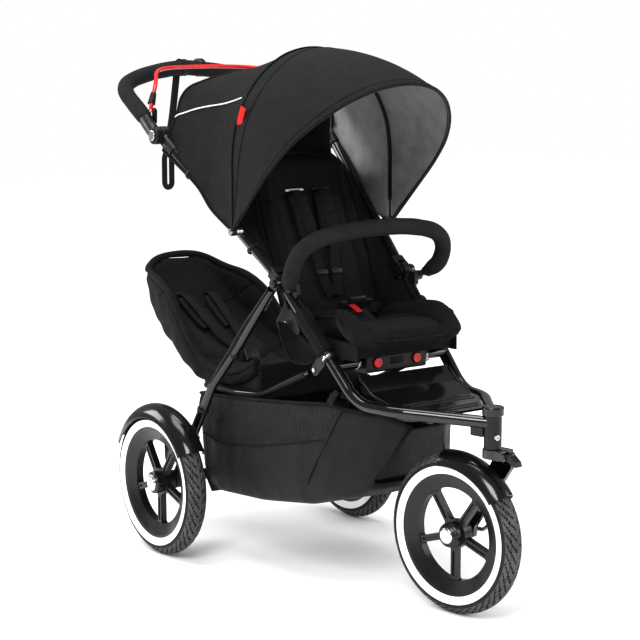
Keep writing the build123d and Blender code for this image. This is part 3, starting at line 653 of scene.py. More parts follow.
def puff(piece, voxel_mm, pressure, limit_mm):
    """Swells a closed pad with cloth pressure; no vertex moves further than the limit."""
    remesh(piece, voxel_mm)
    rest = np.array([vertex.co for vertex in piece.data.vertices], float)
    cloth = piece.modifiers.new("cloth", "CLOTH")
    settings = cloth.settings
    settings.quality = 4
    settings.mass = 0.25
    settings.tension_stiffness = 12
    settings.compression_stiffness = 12
    settings.shear_stiffness = 6
    settings.bending_stiffness = 0.4
    settings.use_pressure = True
    settings.uniform_pressure_force = pressure
    settings.effector_weights.gravity = 0
    settings.shrink_min = -0.02
    cloth.collision_settings.use_collision = False
    cloth.point_cache.frame_start = 1
    cloth.point_cache.frame_end = PUFF_FRAMES
    for number in range(1, PUFF_FRAMES + 1):
        scene.frame_set(number)
    apply_modifiers(piece)
    swollen = np.array([vertex.co for vertex in piece.data.vertices], float)
    if len(swollen) == len(rest):
        move = swollen - rest
        length = np.linalg.norm(move, axis=1)
        limit = limit_mm * MM
        share = np.where(length > limit, limit / (length + 1e-12), 1.0)
        placed = (rest + move * share[:, None]).astype(np.float32)
        piece.data.vertices.foreach_set("co", placed.ravel())
        piece.data.update()
    scene.frame_set(1)


def read_vectors(elements, attribute):
    values = np.zeros(len(elements) * 3, np.float32)
    elements.foreach_get(attribute, values)
    return values.reshape(-1, 3).astype(float)


def displace(piece, amount):
    """Moves each vertex along its normal by amount(points in mm, normals), in mm."""
    mesh = piece.data
    points = read_vectors(mesh.vertices, "co")
    normals = read_vectors(mesh.vertices, "normal")
    points = points + normals * amount(points / MM, normals)[:, None] * MM
    mesh.vertices.foreach_set("co", points.astype(np.float32).ravel())
    mesh.update()


def paint_faces(piece, is_inside, index):
    """Gives material slot `index` to the faces whose centre (mm) and normal pass the test."""
    mesh = piece.data
    centres = read_vectors(mesh.polygons, "center") / MM
    indices = np.zeros(len(mesh.polygons), np.int32)
    mesh.polygons.foreach_get("material_index", indices)
    indices[is_inside(centres, read_vectors(mesh.polygons, "normal"))] = index
    mesh.polygons.foreach_set("material_index", indices)
    mesh.update()


def crease(distance, width):
    """1 on a seam line, falling off over the width."""
    return np.exp(-(distance / width) ** 2)


def distance_to_line(points, line):
    nearest = np.full(len(points), 1e9)
    line = np.array(line, float)
    for start, end in zip(line[:-1], line[1:]):
        step = end - start
        t = np.clip(((points - start) @ step) / (step @ step + 1e-12), 0, 1)
        distance = np.linalg.norm(points - (start + t[:, None] * step), axis=1)
        nearest = np.minimum(nearest, distance)
    return nearest


def strap_pad(name, rows, point, thickness, margin):
    """Small pad; point(down, across) runs 0..1 down and -1..1 across."""
    columns = 12
    middle = grid(rows, columns, lambda t, v: point(t, 2 * v - 1))
    depth = thickness * edge_taper(rows, columns, margin, 0.4)
    return subdivide(remesh(slab(name, middle, depth, "pad2"), 3.0))


# ------------------------------------------------------------------ wheels
TYRE_RADIUS = 158.75      # outside
TYRE_SECTION = 24.6       # radius of the tyre's round section
SECTION_CENTRE = TYRE_RADIUS - TYRE_SECTION
HALF_TRACK = 259.2
CASTOR_PIVOT = np.array([0.0, -783.0, 0.0])
CASTOR_ANGLE = math.radians(7.84)
CASTOR_TRAIL = 90.0
TYRE_STEPS = 432

# Angles round the section, in degrees from the crown; the band is the white sidewall ring
BAND_OUT, BAND_IN = [math.degrees(math.acos((radius - SECTION_CENTRE) / TYRE_SECTION))
                     for radius in (136.8, 121.2)]
HALF_SECTION = [0, 4, 5.5, 12, 19, 21, 28, 35, 37, 44, 50, 52, 58, 63, 66, 72, 78,
                BAND_OUT - 2.2, BAND_OUT - 0.6, BAND_OUT, BAND_OUT + 1,
                (BAND_OUT + BAND_IN) / 2, BAND_IN - 1, BAND_IN, BAND_IN + 0.6, 123.5]
SECTION = [-angle for angle in reversed(HALF_SECTION[1:])] + HALF_SECTION


def in_cross_groove(turn, angle):
    """Curved grooves every 8 degrees, half a step apart on the two sides."""
    shift = 0 if angle >= 0 else 4.0
    return (turn + (abs(angle) ** 1.35) * 0.062 + shift) % 8.0 < 1.9


def in_band(angle):
    return BAND_OUT - 0.3 < angle < BAND_IN + 0.3


def tread_offset(turn, signed_angle):
    """Height above the round section: grooves cut in, the white band stands out."""
    angle = abs(signed_angle)
    grooved = in_cross_groove(turn, signed_angle)
    if angle < 60:
        cut = 2.0 if 6 <= angle <= 56 and grooved else 0.0
        if 35 <= angle <= 37.5:
            cut = max(cut, 1.4)
        if 4.5 <= angle <= 6:
            cut = max(cut, 1.3)
        return -cut
    if angle < 70:
        return -0.8 if grooved and angle < 66 else 0.0
    return 0.45 if in_band(angle) else 0.0


def tread_material(turn, signed_angle):
    """Slot number: rubber 0, tread 1, white 2, 3 for the cut faces, which get painted shade."""
    angle = abs(signed_angle)
    grooved = in_cross_groove(turn, signed_angle)
    # faces in the cuts get the painted-shade material
    if (6 <= angle <= 64 and grooved) or 35 <= angle <= 37.5:
        return 3
    if in_band(angle):
        return 2
    return 1 if angle < 66 else 0


def tyre(name, centre, axis, body, node):
    axis = np.array(axis, float)
    up = np.array([0, 0, 1.0])
    level = np.cross(axis, up)
    centre = np.array(centre, float)
    vertices, faces, face_materials = [], [], []
    count = len(SECTION)
    for j in range(TYRE_STEPS):
        turn = 2 * math.pi * j / TYRE_STEPS
        outward = up * math.cos(turn) + level * math.sin(turn)
        for angle in SECTION:
            size = TYRE_SECTION + tread_offset(math.degrees(turn), angle)
            radius = SECTION_CENTRE + size * math.cos(math.radians(angle))
            across = size * math.sin(math.radians(angle))
            vertices.append(centre + axis * across + outward * radius)
        here, there = j * count, (j + 1) % TYRE_STEPS * count
        for i in range(count - 1):
            faces.append((here + i, there + i, there + i + 1, here + i + 1))
            face_materials.append(tread_material(360.0 * (j + 0.5) / TYRE_STEPS,
                                                 (SECTION[i] + SECTION[i + 1]) / 2))
        # closes the section behind the rim
        faces.append((here + count - 1, there + count - 1, there, here))
        face_materials.append(0)
    piece = make(name, vertices, faces, ["rubber", "tread", "white", "tread_groove"],
                 face_materials=face_materials)
    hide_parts(node)
    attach(piece, body)
    valve_angle = 0.7
    inward = -(up * math.cos(valve_angle) + level * math.sin(valve_angle))
    root = centre - inward * 119.5 - axis * 6
    tip = centre - inward * 99.0 - axis * 9
    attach(tube(name + "_valve", [root, (root + tip) / 2, tip], [3.4, 3.2, 2.6], "rubber", 12),
            body)
    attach(tube(name + "_valve_cap", [tip, tip + inward * 6], 3.0, "satin", 12), body)


front_hub = CASTOR_PIVOT + (-CASTOR_TRAIL * math.sin(CASTOR_ANGLE),
                            CASTOR_TRAIL * math.cos(CASTOR_ANGLE), TYRE_RADIUS)
front_axis = (math.cos(CASTOR_ANGLE), math.sin(CASTOR_ANGLE), 0)
REAR_WHEELS = ((-1, "right"), (1, "left"))
for side, word in REAR_WHEELS:
    tyre("tyre_" + word, (side * HALF_TRACK, 0, TYRE_RADIUS), (1, 0, 0), "rear_" + word,
         "rear_tyre_" + word)
tyre("tyre_front", front_hub, front_axis, "front_rolling", "front_tyre")

# metal rings on the outer face of each rear hub; on the right face of the front hub a bright chrome disc, a
# painted highlight on its dark cap
REAR_RING = [(29.4, 0.01), (30.2, 5.5), (30.2, 8.0), (29.4, 9.0), (28.6, 9.0)]
FRONT_HIGHLIGHT_DISC = [(-30.2, 0.01), (-31.4, 8), (-31.4, 13.5), (-30.0, 16.0), (-29.2, 16.0)]
for side, word in REAR_WHEELS:
    ring = [(side * along, radius) for along, radius in REAR_RING]
    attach(lathe("hub_ring_" + word, ring, (side * HALF_TRACK, 0, TYRE_RADIUS), (1, 0, 0),
                  "steel", 32), "rear_" + word)
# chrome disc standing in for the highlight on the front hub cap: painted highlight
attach(lathe("hub_ring_front", FRONT_HIGHLIGHT_DISC, front_hub, front_axis, "chrome", 36),
        "front_rolling")

# ------------------------------------------------------------------ handlebar foam
BAR_Y, BAR_Z = 45.0, 904.0
BAR_SLOPE = math.radians(27.0)
BAR_REACH = 298.0         # along the slope to the middle of the bar
BAR_BARE_END = 37         # length left uncovered at each end


def bar_point(x, along):
    return (x, BAR_Y + along * math.cos(BAR_SLOPE), BAR_Z + along * math.sin(BAR_SLOPE))


# (x, distance along the slope) from the left end towards the middle
BAR_HALF = [(230.0, 30.0), (222.0, 74.0), (215.5, 135.0), (209.5, 182.0), (194.0, 217.0),
            (160.0, 245.0), (110.0, 269.0), (58.0, 287.0), (0, BAR_REACH)]
bar_path = spline(both_sides([bar_point(x, along) for x, along in BAR_HALF]), 16)
bar_along = distances_along(bar_path)
covered = (bar_along > BAR_BARE_END) & (bar_along < bar_along[-1] - BAR_BARE_END)
bar_path = resample(bar_path[covered], 150)


def foam_radius(base):
    def radius(t, angle):
        from_end = min(t, 1 - t) * 150
        size = base + 0.22 * math.sin(t * 61 + 2 * angle) + 0.25 * math.sin(t * 23 + angle)
        return size - max(0, 3 - from_end) * 0.9
    return radius


bar_foam = tube("handle_foam", bar_path, foam_radius(17.3), "foam", 28)
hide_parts("handlebar_grip")
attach(bar_foam, "handlebar")
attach(tube("handle_foam_seam", bar_path[6:-6] + (0, 7.5, -15.4), 0.9, "stitch", 6),
        "handlebar")

# ------------------------------------------------------------------ bumper foam
BUMPER_HALF = [(181, -372, 628), (190, -390, 645), (191, -403, 672), (179, -412, 697),
               (150, -420, 716), (100, -427, 728), (50, -431, 733), (0, -432, 734)]
bumper_path = spline(both_sides(BUMPER_HALF), 16, 130)
bumper_foam = tube("bumper_padding", bumper_path, foam_radius(17.0), "foam", 28)
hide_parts("bumper_foam")
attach(bumper_foam, "bumper")
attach(tube("bumper_seam", bumper_path[8:-8] + (0, 11.25, -10.8), 0.8, "stitch", 6), "bumper")

# ribbed gaiters over the bumper ends
bumper_end = np.array(BUMPER_HALF[0], float)
bumper_rise = unit(BUMPER_HALF[1] - bumper_end)
gaiter_path = [bumper_end - bumper_rise * (11 - k * 0.75) for k in range(15)]
gaiter_radii = [10.2 + k * 0.22 + (1.0 if k % 3 == 1 else 0.0) for k in range(15)]
for side, tag in SIDES:
    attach(tube("bumper_gaiter_" + tag, on_side(gaiter_path, side), gaiter_radii, "satin", 22),
            "bumper")

# ------------------------------------------------------------------ front tube sleeves
HINGE = np.array([155.0, -313.0, 620.0])              # left fold hinge
FRONT_TUBE = unit(np.array([135.0, -537.0, 402.0]) - HINGE)
SLEEVE_START, SLEEVE_LENGTH = 76, 108


def sleeve_radius(t, angle):
    from_end = min(t, 1 - t) * SLEEVE_LENGTH
    radius = 17.6 + 0.5 * math.sin(t * 19 + angle) + 0.3 * math.sin(t * 47 + 3 * angle)
    if from_end < 4:
        radius -= (4 - from_end) * 0.8
    if 5 < from_end < 7:
        radius -= 0.7
    return radius


sleeve_path = [HINGE + FRONT_TUBE * (SLEEVE_START + SLEEVE_LENGTH * k / 54) for k in range(55)]
for side, tag in SIDES:
    path = on_side(sleeve_path, side)
    sleeve = tube("tube_pad_" + tag, path, sleeve_radius, "pad", 30)
    if side < 0:
        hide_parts("tube_sleeves")
    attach(sleeve, "front_frame")
    outside = unit((side * 13.0, -8.0, 9.0))
    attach(tube("tube_pad_seam_" + tag, path[3:-3] + outside * 17.7, 0.8, "stitch", 6),
            "front_frame")

# ------------------------------------------------------------------ canopy sheets
CANOPY_PIVOT = np.array([0.0, -208.0, 718.0])
MIDDLE_ANGLE, VISOR_ANGLE = -0.6, 45.9    # bows, degrees forward of upright
COLUMNS = 97                              # points from the left end of a bow to the right
LAST = COLUMNS - 1
REAR_ROWS, FRONT_ROWS = 28, 40

# (share of the half width, share of the height), from the left leg to near the crown
BOW_SHAPE = [(0.955, 0.575), (0.86, 0.70), (0.735, 0.80), (0.58, 0.885), (0.38, 0.955),
             (0.18, 0.99)]


def bow_row(half_width, top, angle):
    half = [(half_width, 3.0), (half_width, top * 0.27), (half_width - 0.5, top * 0.42)]
    half += [(half_width * wide, top * high) for wide, high in BOW_SHAPE] + [(0, top)]
    forward, up = math.sin(math.radians(angle)), math.cos(math.radians(angle))
    points = [(x, CANOPY_PIVOT[1] - r * forward, CANOPY_PIVOT[2] + r * up) for x, r in half]
    return spline(both_sides(points), 10, COLUMNS)


middle_row = bow_row(207.0, 372.6, MIDDLE_ANGLE)
visor_row = bow_row(212.0, 439.5, VISOR_ANGLE)
REAR_HALF = [(226, 31, 872), (216, 16, 915), (209.5, 8, 938), (206.5, 1, 958), (201, -4, 985),
             (183, -7, 1006), (152, -9, 1018), (106, -11, 1030.5), (55, -12, 1039.5),
             (0, -13, 1042.5)]
rear_row = spline(both_sides(REAR_HALF), 10, COLUMNS)

# lower left edge of the rear sheet, from the rear hoop along the upper tube
LOWER_EDGE = [(226, 31, 872), (211, -74, 806), (202, -119, 757), (201, -187, 722),
              (207, -206, 721)]
lower_edge = spline(LOWER_EDGE, 12, REAR_ROWS)


def rear_canopy():
    """Sheet from the rear hoop to the middle bow, drawn in between them."""
    sheet = np.zeros((REAR_ROWS, COLUMNS, 3))
    across = np.abs(np.linspace(-1, 1, COLUMNS))
    for i in range(REAR_ROWS):
        t = i / (REAR_ROWS - 1)
        row = rear_row * (1 - t) + middle_row * t
        sag = math.sin(math.pi * t)
        row[:, 2] -= sag * 5.0 * np.clip(1 - across * 1.4, 0, 1)
        row[:, 0] *= 1 - sag * 0.016 * np.clip(across * 1.4 - 0.3, 0, 1)
        # pulls both ends of the row onto the lower edge
        for end, side in ((0, 1), (LAST, -1)):
            pull = np.clip(1 - np.abs(np.arange(COLUMNS) - end) / 30.0, 0, 1) ** 1.6
            row += pull[:, None] * (on_side(lower_edge[i], side) - row[end])
        sheet[i] = row
    sheet[-1] = middle_row
    return sheet


def front_canopy():
    """Sheet from the middle bow to the visor bow, between a straight cut and an arc."""
    sheet = np.zeros((FRONT_ROWS, COLUMNS, 3))
    middle_reach, visor_reach = [
        np.hypot(row[:, 1] - CANOPY_PIVOT[1], row[:, 2] - CANOPY_PIVOT[2])
        for row in (middle_row, visor_row)]
    for i in range(FRONT_ROWS):
        t = i / (FRONT_ROWS - 1)
        straight = middle_row * (1 - t) + visor_row * t
        angle = math.radians(MIDDLE_ANGLE + (VISOR_ANGLE - MIDDLE_ANGLE) * t)
        reach = middle_reach * (1 - t) + visor_reach * t
        arc = np.stack([straight[:, 0], CANOPY_PIVOT[1] - reach * math.sin(angle),
                        CANOPY_PIVOT[2] + reach * math.cos(angle)], 1)
        sheet[i] = straight * 0.42 + arc * 0.58
    return sheet


rear_sheet, front_sheet = rear_canopy(), front_canopy()


def canopy_reversed(sheet):
    middle = sheet[sheet.shape[0] // 2, sheet.shape[1] // 2]
    return is_reversed(sheet, middle - (0, -180, 800.0))


def on_sheet(sheet, places, lift):
    """Points at (row, column) places, lifted off the outside by `lift`."""
    normals = grid_normals(sheet) * (-1 if canopy_reversed(sheet) else 1)
    rows, columns = sheet.shape[:2]
    points = []
    for row, column in places:
        row, column = np.clip(row, 0, rows - 1), np.clip(column, 0, columns - 1)
        i, j = int(row), int(column)
        next_i, next_j = min(i + 1, rows - 1), min(j + 1, columns - 1)
        down, across = row - i, column - j
        point = (sheet[i, j] * (1 - down) * (1 - across)
                 + sheet[next_i, j] * down * (1 - across)
                 + sheet[i, next_j] * (1 - down) * across
                 + sheet[next_i, next_j] * down * across)
        points.append(point + normals[i, j] * lift)
    return np.array(points)


def weight_by_row(piece, sheet):
    """Blend weight of each vertex: how far down the sheet its nearest grid point is."""
    tree = KDTree(sheet.shape[0] * sheet.shape[1])
    for index, point in enumerate(sheet.reshape(-1, 3)):
        tree.insert(Vector(point * MM), index)
    tree.balance()
    share = np.linspace(0, 1, sheet.shape[0])
    weights = [share[tree.find(vertex.co)[1] // sheet.shape[1]]
               for vertex in piece.data.vertices]
    attribute = piece.data.attributes["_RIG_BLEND"]
    attribute.data.foreach_set("value", np.array(weights, np.float32))


def blend_rear(piece):
    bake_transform(piece, "upper_frame", "canopy_mid", start=(0, -0.02, 0.9), end=(0, -0.2, 0.9))
    weight_by_row(piece, rear_sheet)


def blend_front(piece):
    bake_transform(piece, "canopy_mid", "canopy_visor", start=(0, -0.21, 0.9), end=(0, -0.5, 0.9))
    weight_by_row(piece, front_sheet)


CANOPY_LAYERS = ["canopy", "lining", "binding"]
canopy_rear = shell("canopy_rear_cloth", rear_sheet, 2.2, CANOPY_LAYERS,
                    flip=canopy_reversed(rear_sheet))
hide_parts("canopy_rear_panel")
blend_rear(canopy_rear)
canopy_front = shell("canopy_front_cloth", front_sheet, 2.2, CANOPY_LAYERS,
                     flip=canopy_reversed(front_sheet))
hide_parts("canopy_mid_panel", "canopy_visor_panel")
blend_front(canopy_front)

# ------------------------------------------------------------------ canopy edges and seams


def along_front(row, lift, trim=0):
    """Line across the front sheet, `trim` columns short at both ends."""
    return on_sheet(front_sheet, [(row, j) for j in range(trim, COLUMNS - trim)], lift)


NEAR_Y = (0, 1, 0.02)     # width direction of the bands over the middle bow
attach(tube("canopy_visor_binding", visor_row, 3.4, "binding", 10), "canopy_visor")
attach(ribbon("canopy_mid_seam", along_front(0.25, 1.9), NEAR_Y, 4.2, 1.2, "binding"),
        "canopy_mid")
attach(tube("canopy_mid_piping", along_front(0.0, 1.4), 1.5, "binding", 8), "canopy_mid")
for tag, column in (("l", 0), ("r", LAST)):
    blend_rear(tube("canopy_edge_rear_" + tag, rear_sheet[:, column], 2.6, "binding", 10))
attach(tube("canopy_rear_binding", rear_row, 2.6, "binding", 10), "upper_frame")
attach(ribbon("canopy_inner_bow_channel", along_front(0.2, -4.6, trim=4), NEAR_Y, 11.0, 2.0,
               "binding"), "canopy_mid")
blend_front(tube("canopy_visor_stitch", along_front(FRONT_ROWS - 3.4, 0.5, trim=2), 0.7,
                 "stitch", 6))

# side seams: from the lower edge up and back towards the middle bow
for tag in ("l", "r"):
    places = [(9.5 - 5.5 * (k / 59.0) ** 1.5, column if tag == "l" else LAST - column)
              for k, column in enumerate(np.linspace(0.5, 47, 60))]
    blend_front(tube("canopy_side_seam_" + tag, on_sheet(front_sheet, places, 0.5), 0.8,
                     "binding", 6))

# reflective piping along both sides of the rear sheet, on a curve fitted through its places
PIPING = [(210, 3, 944), (205, -60, 968), (199, -135, 985), (188, -185, 999)]
for side, tag in SIDES:
    places = []
    for point in spline(on_side(PIPING, side), 10):
        distance = np.linalg.norm(rear_sheet - point, axis=2)
        places.append(np.unravel_index(np.argmin(distance), distance.shape))
    places = np.array(places, float)
    source, target = np.linspace(0, 1, len(places)), np.linspace(0, 1, 24)
    fitted = [np.clip(np.polyval(np.polyfit(source, places[:, k], 2), target),
                      0, rear_sheet.shape[k] - 1) for k in (0, 1)]
    path = resample(on_sheet(rear_sheet, list(zip(*fitted)), 1.6), 60)
    blend_rear(tube("canopy_reflective_piping_" + tag, relax(path, 4), 1.7, "reflect", 8))

# zip pull cord and red tag on the right, just in front of the middle bow
tag_point = on_sheet(front_sheet, [(2.0, LAST - 24.0)], 2.2)[0]
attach(tube("canopy_zip_cord", tag_point + [(0.0, -22, 34), (-1.6, -17, 22), (-2.4, -13, 10)],
             1.2, "web", 8), "canopy_mid")
tag_path = resample(tag_point + [(-2.6, -13, 12), (-4.6, -7, -6), (-6.0, -1, -27)], 12)
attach(ribbon("canopy_red_tag", tag_path, (0, 1, 0.3), 19.0, 1.6, "redcloth"), "canopy_mid")

# ------------------------------------------------------------------ main seat cushion
CUSHION_BACK, CUSHION_LENGTH = -304, 237
CUSHION_GRID = (46, 40)
BOLSTER_RISE = 37.0
INSERT_HALF = 77          # half width of the centre insert


def cushion_height(y):
    return np.interp(y, [-549, -520, -490, -462, -380, -300], [519, 525, 529, 529, 517, 501])


def bolster_share(y):
    return np.interp(y, [-549, -530, -505, -470, -345, -304], [0.0, 0.12, 0.5, 1.0, 1.0, 0.75])


def cushion_point(t, v):
    y = CUSHION_BACK - CUSHION_LENGTH * t
    across = 2 * v - 1
    half_width = np.interp(y, [-549, -541, -525, -500, -478, -462, -445, -300],
                           [112, 124, 137, 141, 138, 131, 123, 121])
    bolster = BOLSTER_RISE * bolster_share(y) * ramp(abs(across), 0.56, 0.97)
    return (across * half_width, y, cushion_height(y) + bolster - 2.0 * (1 - across ** 2))


def cushion_thickness(t, v):
    y = CUSHION_BACK - CUSHION_LENGTH * t
    depth = np.interp(y, [-549, -520, -495, -462, -380, -300], [20, 32, 36, 34, 33, 30])
    return depth * (1.0 + 0.12 * crease(abs(2 * v - 1) - 0.8, 0.16))


CUSHION_SEAMS = ([(-77, -306, 0), (-77, -440, 0), (-86, -520, 0)],
                 [(77, -306, 0), (77, -440, 0), (86, -520, 0)],
                 [(-86, -520, 0), (-40, -529, 0), (40, -529, 0), (86, -520, 0)])


def cushion_relief(points, normals):
    x, y, _ = points.T
    up = np.clip(normals[:, 2], 0, 1)
    flat = points * (1, 1, 0)
    amount = np.zeros(len(points))
    for line in CUSHION_SEAMS:
        amount -= 4.2 * crease(distance_to_line(flat, line), 4.0) * up
    for seam_y in (-380, -452):
        amount -= 2.0 * crease(y - seam_y, 3.5) * up * (np.abs(x) < INSERT_HALF)
    # small puckers round the edge, soft waves on top
    amount += 1.0 * (np.abs(normals[:, 2]) < 0.35) * np.cos(x * 0.21 + y * 0.17)
    return amount + 0.9 * np.sin(x * 0.055 + 1.0) * np.sin(y * 0.05) * up


def in_cushion_insert(centres, normals):
    x, y, _ = centres.T
    half = INSERT_HALF + 9 * ramp(-y, 440, 520)
    return (np.abs(x) < half) & (y > -524) & (normals[:, 2] > 0.3)


cushion = slab("seat_cushion", grid(*CUSHION_GRID, cushion_point),
               grid(*CUSHION_GRID, cushion_thickness) * edge_taper(*CUSHION_GRID, 0.10, 0.35),
               ["pad", "pad2"])
puff(cushion, voxel_mm=5.0, pressure=3.5, limit_mm=5.0)
subdivide(cushion)
displace(cushion, cushion_relief)
paint_faces(cushion, in_cushion_insert, 1)
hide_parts("seat_squab")
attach(cushion, "front_frame")
bpy.context.view_layer.update()


def cushion_top(x, y):
    """Height of the cushion's upper side, or None where the ray misses it."""
    hit, place, _, _ = cushion.ray_cast(Vector((x * MM, y * MM, 0.9)), Vector((0, 0, -1)))
    return place.z / MM if hit else None


def cushion_welt_point(t):
    """Runs forward on the right, across the front and back on the left."""
    if t < 0.4:
        y = -306 - (t / 0.4) * 190
    elif t < 0.6:
        a = (t - 0.4) / 0.2
        x = -142 + 284 * a
        y = -500 - 44 * (1 - abs(2 * a - 1) ** 3.2)
    else:
        y = -496 + ((t - 0.6) / 0.4) * 190
    if t < 0.4 or t >= 0.6:
        x = np.interp(y, [-500, -478, -462, -445, -300], [142, 139, 132.5, 124.5, 122.5])
        x *= -1 if t < 0.4 else 1
    bolster = BOLSTER_RISE * bolster_share(y) * ramp(abs(x), 78, 122)
    return (x, y, cushion_height(y) + bolster + 2)


welt_path = spline([cushion_welt_point(k / 30) for k in range(31)], 6, 140)
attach(tube("seat_cushion_welt", welt_path, 2.6, "binding", 10), "front_frame")
for side, tag in SIDES:
    path = []
    for y in np.linspace(-308, -520, 60):
        x = side * np.interp(y, [-520, -440, -306], [86, 77, 77])
        z = cushion_top(x, y)
        if z is not None:
            path.append((x, y, z + 0.3))
    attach(tube("seat_insert_seam_" + tag, relax(np.array(path), 3), 1.3, "binding", 8),
            "front_frame")

# ------------------------------------------------------------------ main backrest
BACK_Y, BACK_Z = -288.0, 498.0
BACK_LEAN = math.radians(23.7)
BACK_UP = np.array([math.sin(BACK_LEAN), math.cos(BACK_LEAN)])     # (y, z) along the back
BACK_OUT = np.array([-BACK_UP[1], BACK_UP[0]])                     # (y, z) out of its front
BACK_LOW, BACK_TOP = 18, 398
BACK_GRID = (60, 40)
BACK_INSERT_HALF = 84


def back_point(x, up, out):
    return np.array([x, BACK_Y + up * BACK_UP[0] + out * BACK_OUT[0],
                     BACK_Z + up * BACK_UP[1] + out * BACK_OUT[1]])


def back_height(points):
    return (points[:, 1:] - (BACK_Y, BACK_Z)) @ BACK_UP


def back_middle(t, v):
    up = BACK_LOW + (BACK_TOP - BACK_LOW) * t
    across = 2 * v - 1
    half_width = np.interp(up, [18, 60, 250, 330, 380, 398], [124, 127, 127, 123, 108, 92])
    out = -1 + 9 * abs(across) ** 3 + 5 * ramp(up, 290, 400)
    return back_point(across * half_width, up, out)


def back_thickness(t, v):
    return 24 * (1.0 + 0.35 * crease(abs(2 * v - 1) - 0.82, 0.15))


def back_relief(points, normals):
    x, up = points[:, 0], back_height(points)
    facing = np.clip(normals[:, 1] * BACK_OUT[0] + normals[:, 2] * BACK_OUT[1], 0, 1)
    amount = np.zeros(len(points))
    for seam_x in (-BACK_INSERT_HALF, BACK_INSERT_HALF):
        amount -= 4.0 * crease(x - seam_x, 4.0) * facing * (up < 345)
    head_seam = up - 300 - 8 * np.cos(x / 50.0)
    amount -= 3.6 * crease(head_seam, 4.0) * facing * (np.abs(x) < 118)
    for seam_up in (110, 205):
        amount -= 1.8 * crease(up - seam_up, 3.5) * facing * (np.abs(x) < BACK_INSERT_HALF)
    amount += 0.8 * np.sin(x * 0.05) * np.sin(up * 0.045) * facing
    return amount + 1.2 * np.sin(up * 0.11 + x * 0.03) * facing * (np.abs(x) > 90)


def in_back_insert(centres, normals):
    inside = (np.abs(centres[:, 0]) < BACK_INSERT_HALF) & (back_height(centres) < 300)
    return inside & (normals[:, 1] < -0.3)


backrest = slab("seat_backrest", grid(*BACK_GRID, back_middle),
                grid(*BACK_GRID, back_thickness) * edge_taper(*BACK_GRID, 0.08, 0.35),
                ["pad", "pad2"])
puff(backrest, voxel_mm=5.5, pressure=3.5, limit_mm=5.0)
subdivide(backrest)
displace(backrest, back_relief)
paint_faces(backrest, in_back_insert, 1)
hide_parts("seat_back")
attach(backrest, "main_back")


def back_welt_point(t):
    """Runs up the right side, over the top and down the left."""
    if 0.4 <= t < 0.6:
        a = (t - 0.4) / 0.2
        return back_point(-124 + 248 * a, 340 + 60 * (1 - abs(2 * a - 1) ** 2.6), 9)
    up = 22 + t / 0.4 * 318 if t < 0.4 else 340 - (t - 0.6) / 0.4 * 318
    x = np.interp(up, [18, 60, 250, 330, 380, 398], [126, 129, 129, 125, 110, 94])
    return back_point(-x if t < 0.4 else x, up, 9)


welt_path = spline([back_welt_point(k / 32) for k in range(33)], 6, 140)
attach(tube("seat_back_welt", welt_path, 2.6, "binding", 10), "main_back")

# ------------------------------------------------------------------ main harness
ALONG_BACK = (0, *BACK_UP)
for side, tag in SIDES:
    pad = strap_pad("shoulder_pad_" + tag, 26, lambda t, q: back_point(
        side * (34 - 8 * t) + q * (24 - 3 * abs(2 * t - 1) ** 6), 306 - 122 * t,
        24 + 4 * math.sin(math.pi * t) - 3 * q * q), thickness=11, margin=0.14)
    displace(pad, lambda points, normals: 0.7 * np.sin(points[:, 2] * 0.35))
    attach(pad, "main_back")
    # slot above the pad; the right one is drawn in the bright reflective material and the left in the dim
    # stitch colour: a painted highlight on the right slot
    slot_path = [back_point(side * 34 + dx, up, out)
                 for dx, up, out in ((-23, 313, 21.5), (0, 313.5, 22.0), (23, 313, 21.5))]
    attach(ribbon("harness_slot_" + tag, resample(slot_path, 10), ALONG_BACK, 5.0, 1.6,
                   "reflect" if side < 0 else "stitch"), "main_back")
    strap_path = spline([back_point(side * x, up, out) for x, up, out in (
        (34, 312, 22), (33, 290, 31), (27, 190, 32), (22, 150, 27), (15, 100, 26),
        (9, 74, 27))], 8, 50)
    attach(ribbon("shoulder_strap_" + tag, strap_path, (1, 0, 0), 25.0, 1.8, "web"),
            "main_back")
    slider = box("strap_slider_" + tag, back_point(side * 19, 128, 28.5),
                 [(1, 0, 0), ALONG_BACK, (0, *BACK_OUT)], (14, 6, 2.2), "satin")
    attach(bevel(slider, width_mm=1.8, segments=3), "main_back")
    hip_path = on_side([(118, -300, 545), (86, -322, 548), (50, -343, 558), (22, -350, 566)],
                       side)
    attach(ribbon("hip_strap_" + tag, spline(hip_path, 8, 26), (0, 0.35, 0.94), 24.0, 1.8,
                   "web"), "front_frame")

BUCKLE_AXES = [(1, 0, 0), (0, -0.35, 0.94), (0, 0.94, 0.35)]
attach(soft_box("harness_buckle", (0, -352, 567), BUCKLE_AXES, (22, 21, 6.5), "satin", 5.0, 4),
        "front_frame")
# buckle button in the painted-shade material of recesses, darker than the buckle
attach(soft_box("harness_buckle_button", (0, -358.5, 569), BUCKLE_AXES, (11, 11, 2.2),
                 "groove", 2.0), "front_frame")
for side, tag in SIDES:
    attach(soft_box("hip_buckle_" + tag, (side * 30, -349, 565), BUCKLE_AXES, (11, 14, 4.5),
                     "satin", 3.0), "front_frame")
crotch_path = [(0, -402, cushion_top(0, -402) + 1.0), (0, -391, 541), (0, -374, 550),
               (0, -360, 557)]
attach(ribbon("crotch_strap", spline(crotch_path, 8, 24), (1, 0, 0), 26.0, 2.0, "web"),
        "front_frame")
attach(strap_pad("crotch_pad", 20, lambda t, q: (
    q * 24, -404 + 44 * t, 536 + 22 * t - 3 * math.sin(math.pi * t) - 2.5 * q * q),
    thickness=10, margin=0.16), "front_frame")
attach(ribbon("crotch_red_tag", resample([(-14, -350, 570), (-19, -374, 566),
               (-22, -396, 559)], 12), (0.9, -0.2, 0.1), 13.0, 1.6, "redcloth"), "front_frame")

# ------------------------------------------------------------------ cloth round the main seat
CLOTH = 1.6               # thickness of single cloth
FRONTWARD = (0, -1, 0)

